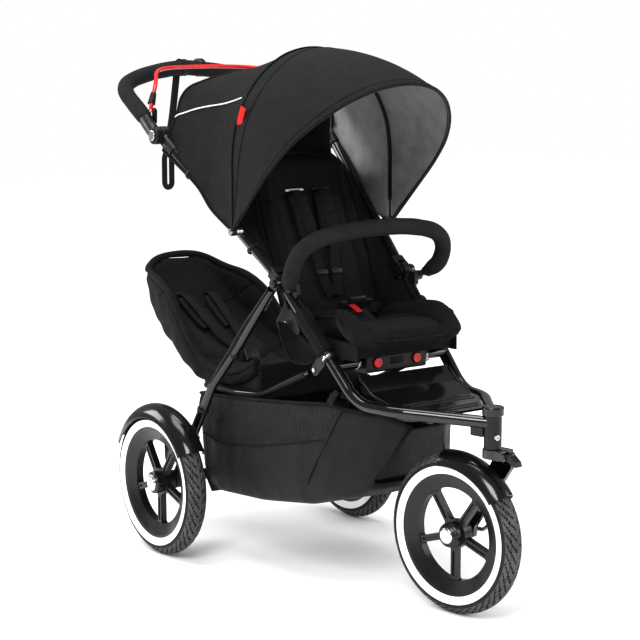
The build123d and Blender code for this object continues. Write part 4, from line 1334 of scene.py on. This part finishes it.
for side, tag in SIDES:
    def side_valance(t, v):
        y = -526 + 208 * t
        return (side * (127 + 1.2 * math.sin(y * 0.09) * v), y,
                520 - 36 * v - (10 * v if y > -480 else 0))

    def side_cloth(t, v):
        inner = back_point(side * 115, 16 + 110 * t, 3)
        outer = np.array([side * (138 + 6 * t), -392 + 60 * t, 540 + 62 * t])
        bulge = math.sin(math.pi * v)
        return inner * (1 - v) + outer * v + (-side * 5.0 * bulge, 0,
                                              2 * math.sin(v * 9 + t * 4) * bulge)

    valance = grid(30, 8, side_valance)
    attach(shell("seat_side_valance_" + tag, valance, CLOTH, PAD_CLOTH,
                  flip=is_reversed(valance, (side, 0, 0))), "front_frame")
    sheet = grid(16, 14, side_cloth)
    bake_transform(shell("seat_side_cloth_" + tag, sheet, CLOTH, PAD_CLOTH,
                   flip=is_reversed(sheet, (side, 0, 0))), "front_frame", "upper_frame",
             start=(0.141 * side, -0.36, 0.575), end=(0.127 * side, -0.26, 0.56))


def front_valance(t, v):
    x = -126 + 252 * v
    return (x, -524 + 10 * t + 1.0 * math.sin(x * 0.07), 518 - 30 * t)


valance = grid(8, 40, front_valance)
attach(shell("seat_front_valance", valance, CLOTH, PAD_CLOTH,
              flip=is_reversed(valance, FRONTWARD)), "front_frame")

# side wings between the backrest and the frame, lined with dense net
for side, tag in SIDES:
    def wing_point(t, v):
        inner = back_point(side * 116, 60 + 330 * t, 2)
        outer = np.array([side * (148 + 43 * t), np.interp(t, [0, 0.12, 1], [-322, -292, -82]),
                          np.interp(t, [0, 0.12, 1], [566, 632, 812])])
        bulge = math.sin(math.pi * v)
        return inner * (1 - v) + outer * v + (-side * 4.0 * bulge * math.sin(t * 9 + 1),
                                              5.0 * bulge * math.sin(t * 13),
                                              3.0 * bulge * math.cos(t * 11))

    sheet = grid(26, 16, wing_point)
    wing = shell("side_wing_" + tag, sheet, CLOTH, ["pad", "net_dense", "binding"],
                 flip=side > 0)
    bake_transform(wing, "upper_frame", "main_back",
             start=(0.19 * side, -0.19, 0.70), end=(0.128 * side, -0.19, 0.70))
    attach(tube("side_wing_edge_" + tag, sheet[:, -1], 2.2, "binding", 8), "upper_frame")


def curtain_point(t, v):
    """From the top of the backrest up to the rear hoop."""
    q = 2 * v - 1
    bottom = back_point(q * 104, 392 - 24 * abs(q) ** 3, -9)
    top = np.array([q * 186, -18 + 6 * (1 - q * q),
                    1018 - 52 * abs(q) ** 3.0 + 8 * (1 - q * q)])
    x, y, z = bottom * (1 - t) + top * t
    bulge = math.sin(math.pi * t)
    return (x * (1 + 0.04 * bulge), y + 18 * bulge + 1.6 * math.sin(q * 11 + 3 * t), z)


curtain = shell("canopy_back_curtain", grid(26, 40, curtain_point), CLOTH,
                ["canopy", "canopy", "binding"])
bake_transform(curtain, "upper_frame", "main_back", start=(0, -0.02, 1.0), end=(0, -0.13, 0.87))

# ------------------------------------------------------------------ second seat bucket
# (y, z) on the centre line, (x, y, z) on the left rim, from the front to the rear
BUCKET_ROWS = [
    ((-192, 426), (139, -194, 438)), ((-160, 406), (140, -165, 422)),
    ((-115, 389), (140, -120, 404)), ((-50, 380), (140, -52, 396)),
    ((22, 378), (139, 18, 408)), ((84, 398), (138, 70, 446)),
    ((138, 420), (133, 116, 486)), ((204, 450), (126, 170, 534)),
    ((262, 486), (117, 230, 558)), ((306, 534), (105, 286, 568)),
    ((326, 566), (93, 318, 577)), ((334, 588), (66, 333, 594)), ((336, 599), (34, 336, 602)),
]
BUCKET_GRID = (62, 56)
bucket_centre = spline([(0, *centre) for centre, _ in BUCKET_ROWS], 6, BUCKET_GRID[0])
bucket_edge = spline([edge for _, edge in BUCKET_ROWS], 6, BUCKET_GRID[0])
# stations from the centre line (0) to the rim (1)
WALL_STATIONS = [0, 0.52, 0.60, 0.66, 0.72, 1.0]


def bucket_point(t, v):
    q = 2 * v - 1
    row = round(t * (BUCKET_GRID[0] - 1))
    centre, edge = bucket_centre[row], bucket_edge[row]
    rise = np.interp(abs(q), WALL_STATIONS, [0, 0.0, 0.02, 0.09, 0.22, 1.0])
    base = np.interp(t, [0, 0.45, 0.75, 1.0], [1.0, 1.0, 0.94, 0.9])
    wide = np.interp(abs(q), WALL_STATIONS,
                     [0, 0.84 * base, 0.93 * base, 0.985 * base, base, 1.0])
    _, y, z = centre * (1 - rise) + edge * rise
    return (math.copysign(edge[0] * wide, q), y, z)


def bucket_thickness(t, v):
    return 20 - 3 * ramp(abs(2 * v - 1), 0.8, 1.0)


def past_head_seam(y, z):
    """Distance up and back from the seam under the head part."""
    return y * 0.62 + z * 0.78 - (215 * 0.62 + 515 * 0.78)


def panel_half(y):
    return 78 * np.interp(y, [-190, 60, 320], [1.15, 1.0, 0.75])


def bucket_relief(points, normals):
    x, y, z = points.T
    inner = (normals[:, 2] > 0.05) | (normals[:, 1] < -0.3)
    head_seam = past_head_seam(y, z) + 7 * np.cos(x / 38.0)
    amount = -3.4 * crease(head_seam, 4.0) * inner
    for side in (-1, 1):
        amount -= 3.4 * crease(x - side * panel_half(y), 4.0) * inner
    amount -= 2.6 * crease(y - 62, 5.0) * inner * (np.abs(x) < 110)
    for seam_y in (-120, -30):
        amount -= 1.6 * crease(y - seam_y, 3.5) * inner * (np.abs(x) < 80)
    # gathered folds on the outside, soft waves inside
    amount += ~inner * 1.6 * np.sin(y * 0.085 + z * 0.03) * np.sin(z * 0.05 + 1.2)
    return amount + inner * 0.9 * np.sin(x * 0.06 + 0.5) * np.sin(y * 0.05)


def in_bucket_panel(centres, normals):
    x, y, z = centres.T
    return (np.abs(x) < panel_half(y)) & (past_head_seam(y, z) < 0) & (normals[:, 2] > 0.1)


bucket = slab("second_seat_pad", grid(*BUCKET_GRID, bucket_point),
              grid(*BUCKET_GRID, bucket_thickness) * edge_taper(*BUCKET_GRID, 0.05, 0.5),
              ["pad", "pad2"])
puff(bucket, voxel_mm=6.0, pressure=3.0, limit_mm=4.0)
subdivide(bucket)
displace(bucket, bucket_relief)
paint_faces(bucket, in_bucket_panel, 1)
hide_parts("second_seat")
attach(bucket, "front_frame")

rim_half = list(on_side(bucket_edge[::3], -1) + (0, 1, 1)) + [(0, 337, 603)]
rim_path = relax(spline(both_sides(rim_half), 5, 170), 3)
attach(tube("second_seat_rim", rim_path, lambda t, angle: (
    7.6 + 0.5 * math.sin(t * 90) + 0.3 * math.sin(t * 37 + angle)), "pad", 16), "front_frame")
binding_path = [point + (math.copysign(6.4, point[0]) if abs(point[0]) > 60 else 0,
                         6.4 if point[1] > 300 else 0, 0) for point in rim_path]
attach(tube("second_seat_rim_binding", binding_path, 1.5, "binding", 8), "front_frame")

# ------------------------------------------------------------------ second seat harness


def on_bucket(x, fraction, lift):
    """Point over the bucket's centre line: fraction along it from the front, lift above."""
    place = fraction * (BUCKET_GRID[0] - 1)
    i = int(place)
    t = place - i
    _, y, z = bucket_centre[i] * (1 - t) + bucket_centre[i + 1] * t
    _, dy, dz = unit(bucket_centre[i + 1] - bucket_centre[i])
    return np.array([x, y - dz * lift, z + dy * lift])


def bucket_path(side, stations):
    """stations: (x, fraction, lift)"""
    return [on_bucket(side * x, fraction, lift) for x, fraction, lift in stations]


for side, tag in SIDES:
    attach(strap_pad("second_shoulder_pad_" + tag, 24, lambda t, q: on_bucket(
        side * (36 - 6 * t) + q * 20, 0.80 - 0.20 * t, 25 - 3 * q * q),
        thickness=9, margin=0.14), "front_frame")
    path = bucket_path(side, [(36, 0.83, 10), (35, 0.79, 33), (30, 0.62, 33), (24, 0.52, 24),
                              (12, 0.40, 24)])
    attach(ribbon("second_strap_" + tag, spline(path, 8, 40), (1, 0, 0), 22.0, 1.8, "web"),
            "front_frame")
    path = bucket_path(side, [(112, 0.47, 22), (80, 0.44, 15), (40, 0.40, 18), (20, 0.385, 22)])
    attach(ribbon("second_hip_strap_" + tag, spline(path, 8, 26), (0, 0.55, 0.83), 22.0, 1.8,
                   "web"), "front_frame")
    path = [on_bucket(side * 36 + dx, 0.835, lift)
            for dx, lift in ((-18, 12.5), (0, 13), (18, 12.5))]
    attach(ribbon("second_slot_" + tag, resample(path, 8), (0, 0.6, 0.8), 4.5, 1.5, "stitch"),
            "front_frame")
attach(soft_box("second_buckle", on_bucket(0, 0.385, 25),
                 [(1, 0, 0), (0, 0.5, 0.86), (0, -0.86, 0.5)], (20, 17, 6), "satin", 4.5, 4),
        "front_frame")
path = bucket_path(1, [(0, 0.27, 11), (0, 0.31, 20), (0, 0.355, 24)])
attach(ribbon("second_crotch_strap", spline(path, 8, 16), (1, 0, 0), 24.0, 2.0, "web"),
        "front_frame")

# ------------------------------------------------------------------ cloth under the bucket
RAIL = [(146.3, -378, 440.5), (148, -310, 410), (149.6, -240, 379), (150, -200, 368),
        (150, -150, 362.6), (150, -90, 361), (150, -14, 361)]
for side, tag in SIDES:
    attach(tube("second_rail_sleeve_" + tag, spline(on_side(RAIL, side), 6), 6.9, "bag", 16),
            "front_frame")
for side, tag in SIDES:
    def side_skirt(t, v):
        y = -188 + 208 * t
        top, bottom = [np.interp(y, [-190, -120, -50, 20], heights)
                       for heights in ([410, 384, 374, 370], [350, 346, 344, 348])]
        return (side * (134 - 3 * v + 1.4 * math.sin(y * 0.11 + v * 2)), y,
                top + (bottom - top) * v)

    skirt = grid(40, 10, side_skirt)
    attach(shell("second_seat_skirt_" + tag, skirt, CLOTH, BAG_CLOTH,
                  flip=is_reversed(skirt, (side, 0, 0))), "front_frame")


def front_skirt(t, v):
    x = -134 + 268 * v
    return (x, -192 + 2.0 * math.sin(x * 0.06) * t, 428 - 78 * t)


skirt = grid(12, 30, front_skirt)
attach(shell("second_seat_front_skirt", skirt, CLOTH, BAG_CLOTH,
              flip=is_reversed(skirt, FRONTWARD)), "front_frame")

# ------------------------------------------------------------------ basket bag
BAG_THICKNESS = 1.8
BASKET_GRID = (72, 61)    # front to rear, right rim to left rim


def floor_height(y):
    return np.interp(y, [-545, -530, -500, -385, -230, -46, -20],
                     [252, 224, 204, 170, 146, 131, 130])


def rim_height(y):
    return np.interp(y, [-594, -560, -500, -455, -257, -20], [352, 383, 386, 393, 371, 347])


def basket_half_width(y):
    return np.interp(y, [-592, -560, -520, -460, -385, -250, -90, -15],
                     [42, 92, 124, 152, 169, 177.5, 177.5, 171])


def hem_height(y):
    """Lower edge of the net windows."""
    return np.interp(y, [-500, -447, -271, -127, -42], [334, 318, 276, 252, 262])


def basket_point(t, v):
    """The outer quarters of each row are the side walls, the middle half is the floor."""
    q = 2 * v - 1
    rim_y = -592 + 571 * t
    floor_y = -536 + 486 * t
    if abs(q) > 0.5:
        drop = (1 - abs(q)) / 0.5     # 0 at the rim, 1 at the bottom corner
        y = rim_y * (1 - drop) + floor_y * drop
        width = basket_half_width(y)
        width += (basket_half_width(rim_y) - width) * (1 - drop)
        # bellies out a little, then turns under
        x = width + 3.0 * math.sin(math.pi * drop) - 71.5 * max(0.0, drop - 0.80)
        z = rim_height(rim_y) * (1 - drop) + floor_height(floor_y) * drop
        return (math.copysign(x, q), y, z)
    share = abs(q) / 0.5
    x = (basket_half_width(floor_y) - 14.3) * share
    z = floor_height(floor_y) - 3.0 * (1 - share * share) + 35 * max(0, share - 0.86)
    return (math.copysign(x, q), floor_y, z)


basket_sheet = grid(*BASKET_GRID, basket_point)
relax(basket_sheet.swapaxes(0, 1), 3)     # softens the bottom corners
# long soft folds running down from the rim
for j, q in enumerate(-1 + 2 * np.arange(BASKET_GRID[1]) / (BASKET_GRID[1] - 1)):
    if abs(q) > 0.5:
        drop = (1 - abs(q)) / 0.5
        y = basket_sheet[:, j, 1]
        fold = (1.6 * np.sin(y * 0.038 + drop * 2.5) * math.sin(math.pi * drop)
                + 0.9 * np.sin(y * 0.09 - drop * 4))
        basket_sheet[:, j, 0] -= np.sign(q) * np.abs(fold) * 0.9


def in_net(centres, normals):
    x, y, z = centres.T
    front = np.interp(z, [205, 220, 309, 409], [-400, -407, -452, -500])
    return (np.abs(x) > 120) & (y > front) & (z > hem_height(y))


bag = shell("basket_bag", basket_sheet, BAG_THICKNESS, ["bag", "bag", "binding", "net"],
            flip=is_reversed(basket_sheet, (0, 0, -1)))
paint_faces(bag, in_net, 3)
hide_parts("basket")
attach(bag, "front_frame")


def rear_wall(t, v):
    q = 2 * v - 1
    width = 171 + 3 * t - 80 * max(0, t - 0.85)
    return (q * width, -21.5 - 27 * t - 2.0 * math.sin(math.pi * t) * math.cos(q * 1.5),
            347 - 216 * t - 3 * (1 - q * q) * (t > 0.9))


def front_wall(t, v):
    return ((2 * v - 1) * (43 + 47 * t), -592 + 56 * t, 352 - 108 * t)


for name, sheet, outward in (("rear", grid(24, 30, rear_wall), (0, 1, 0)),
                             ("front", grid(16, 14, front_wall), FRONTWARD)):
    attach(shell("basket_" + name + "_wall", sheet, BAG_THICKNESS, BAG_CLOTH,
                  flip=is_reversed(sheet, outward)), "front_frame")

# ------------------------------------------------------------------ basket seams and straps


def on_basket(side, y, z, lift):
    """Point at (y, z), no higher than the rim, just outside the nearest wall grid point."""
    distance = (np.abs(basket_sheet[:, :, 1] - y) + np.abs(basket_sheet[:, :, 2] - z)
                + 400 * (basket_sheet[:, :, 0] * side < 100))
    nearest = np.unravel_index(np.argmin(distance), distance.shape)
    return (basket_sheet[nearest][0] + side * lift, y, min(z, rim_height(y)))


for side, tag in SIDES:
    rim_path = basket_sheet[:, 0 if side < 0 else -1] + (0, 0, 0.5)
    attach(tube("basket_rim_" + tag, rim_path,
                 lambda t, angle: 3.0 + 0.4 * math.sin(t * 160), "binding", 10), "front_frame")
    # seam in front of the net, then the one below it
    path = [on_basket(side, y, z, 0.8) for z, y in (
        (405, -498), (370, -483), (309, -453), (260, -427), (220, -406))]
    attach(tube("basket_panel_seam_" + tag, spline(path, 8, 50), 1.7, "binding", 8),
            "front_frame")
    path = np.array([on_basket(side, y, hem_height(y), 0.9) for y in np.linspace(-448, -36, 36)])
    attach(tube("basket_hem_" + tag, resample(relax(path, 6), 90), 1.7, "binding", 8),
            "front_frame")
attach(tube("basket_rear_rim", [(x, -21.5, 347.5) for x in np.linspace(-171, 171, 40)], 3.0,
             "binding", 10), "front_frame")
REAR_STRAP = [(172, -40, 347), (184, -52, 336), (201, -72, 314)]
FRONT_STRAP = [(150, -462, 391), (143, -462, 404), (133, -468, 418)]
for side, tag in SIDES:
    for word, points, across, width in (("rear", REAR_STRAP, (0, 1, 0), 22.0),
                                        ("front", FRONT_STRAP, (0, 1, -0.3), 26.0)):
        path = spline(on_side(points, side), 6, 12)
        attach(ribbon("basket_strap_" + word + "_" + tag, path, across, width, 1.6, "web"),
                "front_frame")

# ------------------------------------------------------------------ wrist strap
bar_middle = np.array(bar_point(0, BAR_REACH))
strap_path = bar_middle + [(-3, 0, 18.2), (-4, 15, 10), (-5, 17.5, -10), (-8, 20, -45),
                           (-17, 20, -110), (-28, 24, -178)]
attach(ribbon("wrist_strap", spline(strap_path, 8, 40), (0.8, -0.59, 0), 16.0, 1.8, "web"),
        "handlebar")
loop_top = strap_path[-1]
LOOP_ACROSS = np.array([0.805, -0.593, 0.0])
LOOP_NORMAL = np.array([0.59, 0.80, 0])
LOOP_HALF, LOOP_DROP, LOOP_WIDTH = 8.2, 88.0, 12.5
LOOP_LEG = 0.36           # share of the band in each straight leg


def loop_point(t, v):
    """Down one leg, round the bottom and up the other, in one plane."""
    if LOOP_LEG <= t <= 1 - LOOP_LEG:
        angle = math.pi * (t - LOOP_LEG) / (1 - 2 * LOOP_LEG)
        centre = (-LOOP_HALF * math.cos(angle), -LOOP_DROP - LOOP_HALF * math.sin(angle) * 1.4)
        widen = (math.cos(angle), math.sin(angle))
    else:
        side = -1 if t < LOOP_LEG else 1
        from_end = min(t, 1 - t)
        centre = (side * LOOP_HALF * ramp(from_end, 0.0, 0.14),
                  -LOOP_DROP * from_end / LOOP_LEG)
        widen = (-side, 0.0)
    offset = (v - 0.5) * LOOP_WIDTH
    apart = (1.6 if t > 0.5 else -1.6) * min(1, abs(t - 0.5) * 6)
    return (loop_top + LOOP_ACROSS * (centre[0] + widen[0] * offset)
            + np.array([0, 0, centre[1] + widen[1] * offset]) + LOOP_NORMAL * apart)


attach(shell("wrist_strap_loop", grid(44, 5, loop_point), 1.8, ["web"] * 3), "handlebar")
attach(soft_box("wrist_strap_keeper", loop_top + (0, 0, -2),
                 [LOOP_ACROSS, (0.593, 0.805, 0), (0, 0, 1)], (9.5, 4.4, 5), "satin", 1.8),
        "handlebar")
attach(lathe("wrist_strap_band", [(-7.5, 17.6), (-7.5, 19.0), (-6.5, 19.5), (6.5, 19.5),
              (7.5, 19.0), (7.5, 17.6)], bar_middle, (1, 0, 0), "web", 32), "handlebar")
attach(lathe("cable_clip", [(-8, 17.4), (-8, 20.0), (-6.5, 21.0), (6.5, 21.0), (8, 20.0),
              (8, 17.4)], bar_point(45, 297.0), (1, 0, 0), "satin", 32), "handlebar")

# ------------------------------------------------------------------ rivets, rings and caps
# name, (distance along x, radius) profile, (x, y, z) on the left, material, steps, body
SIDE_CAPS = (
    ("knuckle_rivet_", [(0, 0.01), (0, 4.2), (-1.2, 5.6), (-4.0, 5.8)],
     (238.0, BAR_Y + 46, BAR_Z + 24.5), "steel", 24, "handlebar"),
    # dark ring round the fold button: painted shade of the gap
    ("button_ring_", [(0, 12.2), (1.0, 12.9), (1.0, 14.4), (0, 15.4), (-1.5, 15.4)],
     (243.0, BAR_Y, BAR_Z), "groove", 36, "handlebar"),
    ("bail_pivot_screw_", [(0, 0.01), (0, 3.2), (-0.8, 4.6), (-3.2, 4.6)],
     (222.4, 90, 955), "chrome", 20, "bail"),
    ("hinge_cap_", [(0.6, 0.01), (0.6, 4.0), (0, 7.2), (-1.2, 8.6)],
     (183.6, HINGE[1], HINGE[2]), "satin", 28, "front_frame"),
)
for side, tag in SIDES:
    for name, profile, place, material, steps, body in SIDE_CAPS:
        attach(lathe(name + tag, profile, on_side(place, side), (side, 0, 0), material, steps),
                body)

# ------------------------------------------------------------------ brake cable, right side
upper_top = on_side((217.0, 26.0, 888.5), -1)
upper_axis = unit(upper_top - on_side(HINGE, -1))
path = [upper_top - upper_axis * distance + (0, 7.2, -10.8)
        for distance in (34, 90, 170, 260, 350)]
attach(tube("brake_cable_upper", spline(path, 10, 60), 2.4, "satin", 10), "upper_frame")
for distance in (95, 225, 330):
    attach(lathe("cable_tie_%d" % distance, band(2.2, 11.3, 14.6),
                  upper_top - upper_axis * distance + (0, 1.6, -2.4), upper_axis, "satin", 28),
            "upper_frame")
LEG_CABLE = [(-187.5, -300, 604), (-189, -262, 566), (-192, -222, 524), (-196, -178, 470),
             (-205, -118, 392), (-216, -60, 288), (-224, -20, 206)]
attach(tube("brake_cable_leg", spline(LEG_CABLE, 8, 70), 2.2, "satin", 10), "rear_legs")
# (centre, axis)
LEG_CLIPS = (((-183, -176, 458), (14, 78, -99)), ((-206, -86, 325), (20, 111, -213)))
for number, (centre, axis) in enumerate(LEG_CLIPS):
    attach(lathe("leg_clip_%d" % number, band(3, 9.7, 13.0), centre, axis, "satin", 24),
            "rear_legs")

# ------------------------------------------------------------------ pockets beside the cushion
POCKET_TOP = [(138, -306, 548), (139, -340, 522), (138, -380, 502), (137, -404, 488)]
POCKET_EDGE = [(160, -303, 540), (161, -318, 500), (158, -345, 466), (150, -380, 462),
               (146, -404, 470)]
for side, tag in SIDES:
    edge_points = on_side(POCKET_EDGE, side)
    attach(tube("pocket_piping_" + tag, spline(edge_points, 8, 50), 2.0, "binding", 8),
            "front_frame")
    top_line = spline(on_side(POCKET_TOP, side), 6, 26)
    edge_line = spline(edge_points, 6, 26)

    def pocket_point(t, v):
        i = round(t * 25)
        sag = math.sin(math.pi * v)
        return top_line[i] * (1 - v) + edge_line[i] * v + (
            -side * 9 * sag, 0, -7 * sag + 1.2 * math.sin(i * 0.9))

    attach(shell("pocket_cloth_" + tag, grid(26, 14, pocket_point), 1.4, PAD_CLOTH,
                  flip=side < 0), "front_frame")


def hammock_point(t, v):
    q = 2 * v - 1
    y = -468 + 162 * t
    z = np.interp(y, [-470, -400, -310], [490, 478, 470])
    return (q * 136, y, z - 8 * (1 - q * q))


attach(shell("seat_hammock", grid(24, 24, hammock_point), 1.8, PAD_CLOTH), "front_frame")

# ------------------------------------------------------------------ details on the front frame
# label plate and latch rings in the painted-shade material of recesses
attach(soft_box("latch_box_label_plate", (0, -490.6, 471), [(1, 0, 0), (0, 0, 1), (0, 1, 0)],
                 (16, 6.5, 0.9), "groove", 0.8, 2), "front_frame")
LATCH_RING = [(0, 10.0), (-1.0, 10.6), (-1.0, 11.8), (0, 12.4), (0.6, 12.4)]
for side, tag in SIDES:
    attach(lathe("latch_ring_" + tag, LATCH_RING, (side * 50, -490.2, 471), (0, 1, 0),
                  "groove", 32), "front_frame")
for name, x in (("crossbar_clip", 86), ("crossbar_clip_r", -86)):
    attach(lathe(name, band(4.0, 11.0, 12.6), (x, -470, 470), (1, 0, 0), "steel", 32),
            "front_frame")
collar = HINGE + FRONT_TUBE * 194.5
for side, tag in SIDES:
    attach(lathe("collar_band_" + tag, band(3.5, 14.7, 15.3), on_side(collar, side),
                  on_side(FRONT_TUBE, side), "steel", 36), "front_frame")
for number, y in enumerate((-618, -636, -682, -700)):
    half = np.interp(y, [-722, -628], [22, 86])
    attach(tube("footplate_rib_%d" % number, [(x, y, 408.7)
                 for x in np.linspace(-half, half, 24)], 1.6, "satin", 8), "front_frame")

# ------------------------------------------------------------------ floor (metres from here on)
FLOOR_HALF, FLOOR_Z = 9, -0.0005
floor_mesh = bpy.data.meshes.new("studio_floor")
floor_mesh.from_pydata([(x * FLOOR_HALF, y * FLOOR_HALF, FLOOR_Z) for x, y in
                        ((-1, -1), (1, -1), (1, 1), (-1, 1))], [], [(0, 1, 2, 3)])
floor = add_object("studio_floor", floor_mesh)
floor_material, tree, shader, _ = new_material("studio_floor")
tone = remap(tree, noise(tree, 3.0, detail=2.0), 0.0, 1.0)
fill(tree, shader, {
    "Base Color": mix_colour(tree, tone, (0.992, 0.992, 0.992), (1.0, 1.0, 1.0)),
    "Roughness": 1.0,
    "Specular IOR Level": 0.0,
})
floor_mesh.materials.append(floor_material)

# ------------------------------------------------------------------ world
GLOSSY_DIMMING = -0.62    # reflections see the white world at 0.38 of its strength
world = bpy.data.worlds.new("studio")
world.use_nodes = True
scene.world = world
tree = world.node_tree
light_path = add_node(tree, "LightPath", {})
strength = add_node(tree, "Math", {0: light_path.outputs["Is Glossy Ray"], 1: GLOSSY_DIMMING,
                                   2: 1.0}, operation="MULTIPLY_ADD")
fill(tree, tree.nodes["Background"], {0: (1, 1, 1, 1), 1: strength.outputs[0]})

# ------------------------------------------------------------------ lights and camera


def aim(piece, target):
    direction = Vector(target) - piece.location
    piece.rotation_euler = direction.to_track_quat("-Z", "Y").to_euler()


def area_light(name, place, target, width, height, power):
    light = bpy.data.lights.new(name, "AREA")
    light.energy = power
    light.size = width
    light.shape = "RECTANGLE"
    light.size_y = height
    lamp = add_object(name, light)
    lamp.location = place
    aim(lamp, target)


area_light("key", (-2.6, -2.2, 2.9), (0, -0.25, 0.5), width=1.6, height=1.6, power=95)
area_light("fill", (2.4, -2.6, 1.7), (0, -0.25, 0.5), width=1.8, height=1.8, power=38)
area_light("top", (-0.2, 0.2, 3.2), (0, -0.25, 0.6), width=2.2, height=1.6, power=60)
area_light("rim", (-1.8, 2.4, 1.8), (0, -0.1, 0.6), width=1.4, height=1.4, power=45)

camera_data = bpy.data.cameras.new("camera")
camera_data.lens = 103.4
camera_data.sensor_width = 36.0
camera = add_object("camera", camera_data)
camera.location = (-2.2772, -3.3397, 1.1414)
aim(camera, (0, -0.2278, 0.5180))
scene.camera = camera
scene.view_settings.view_transform = "Standard"
scene.view_settings.gamma = 0.82
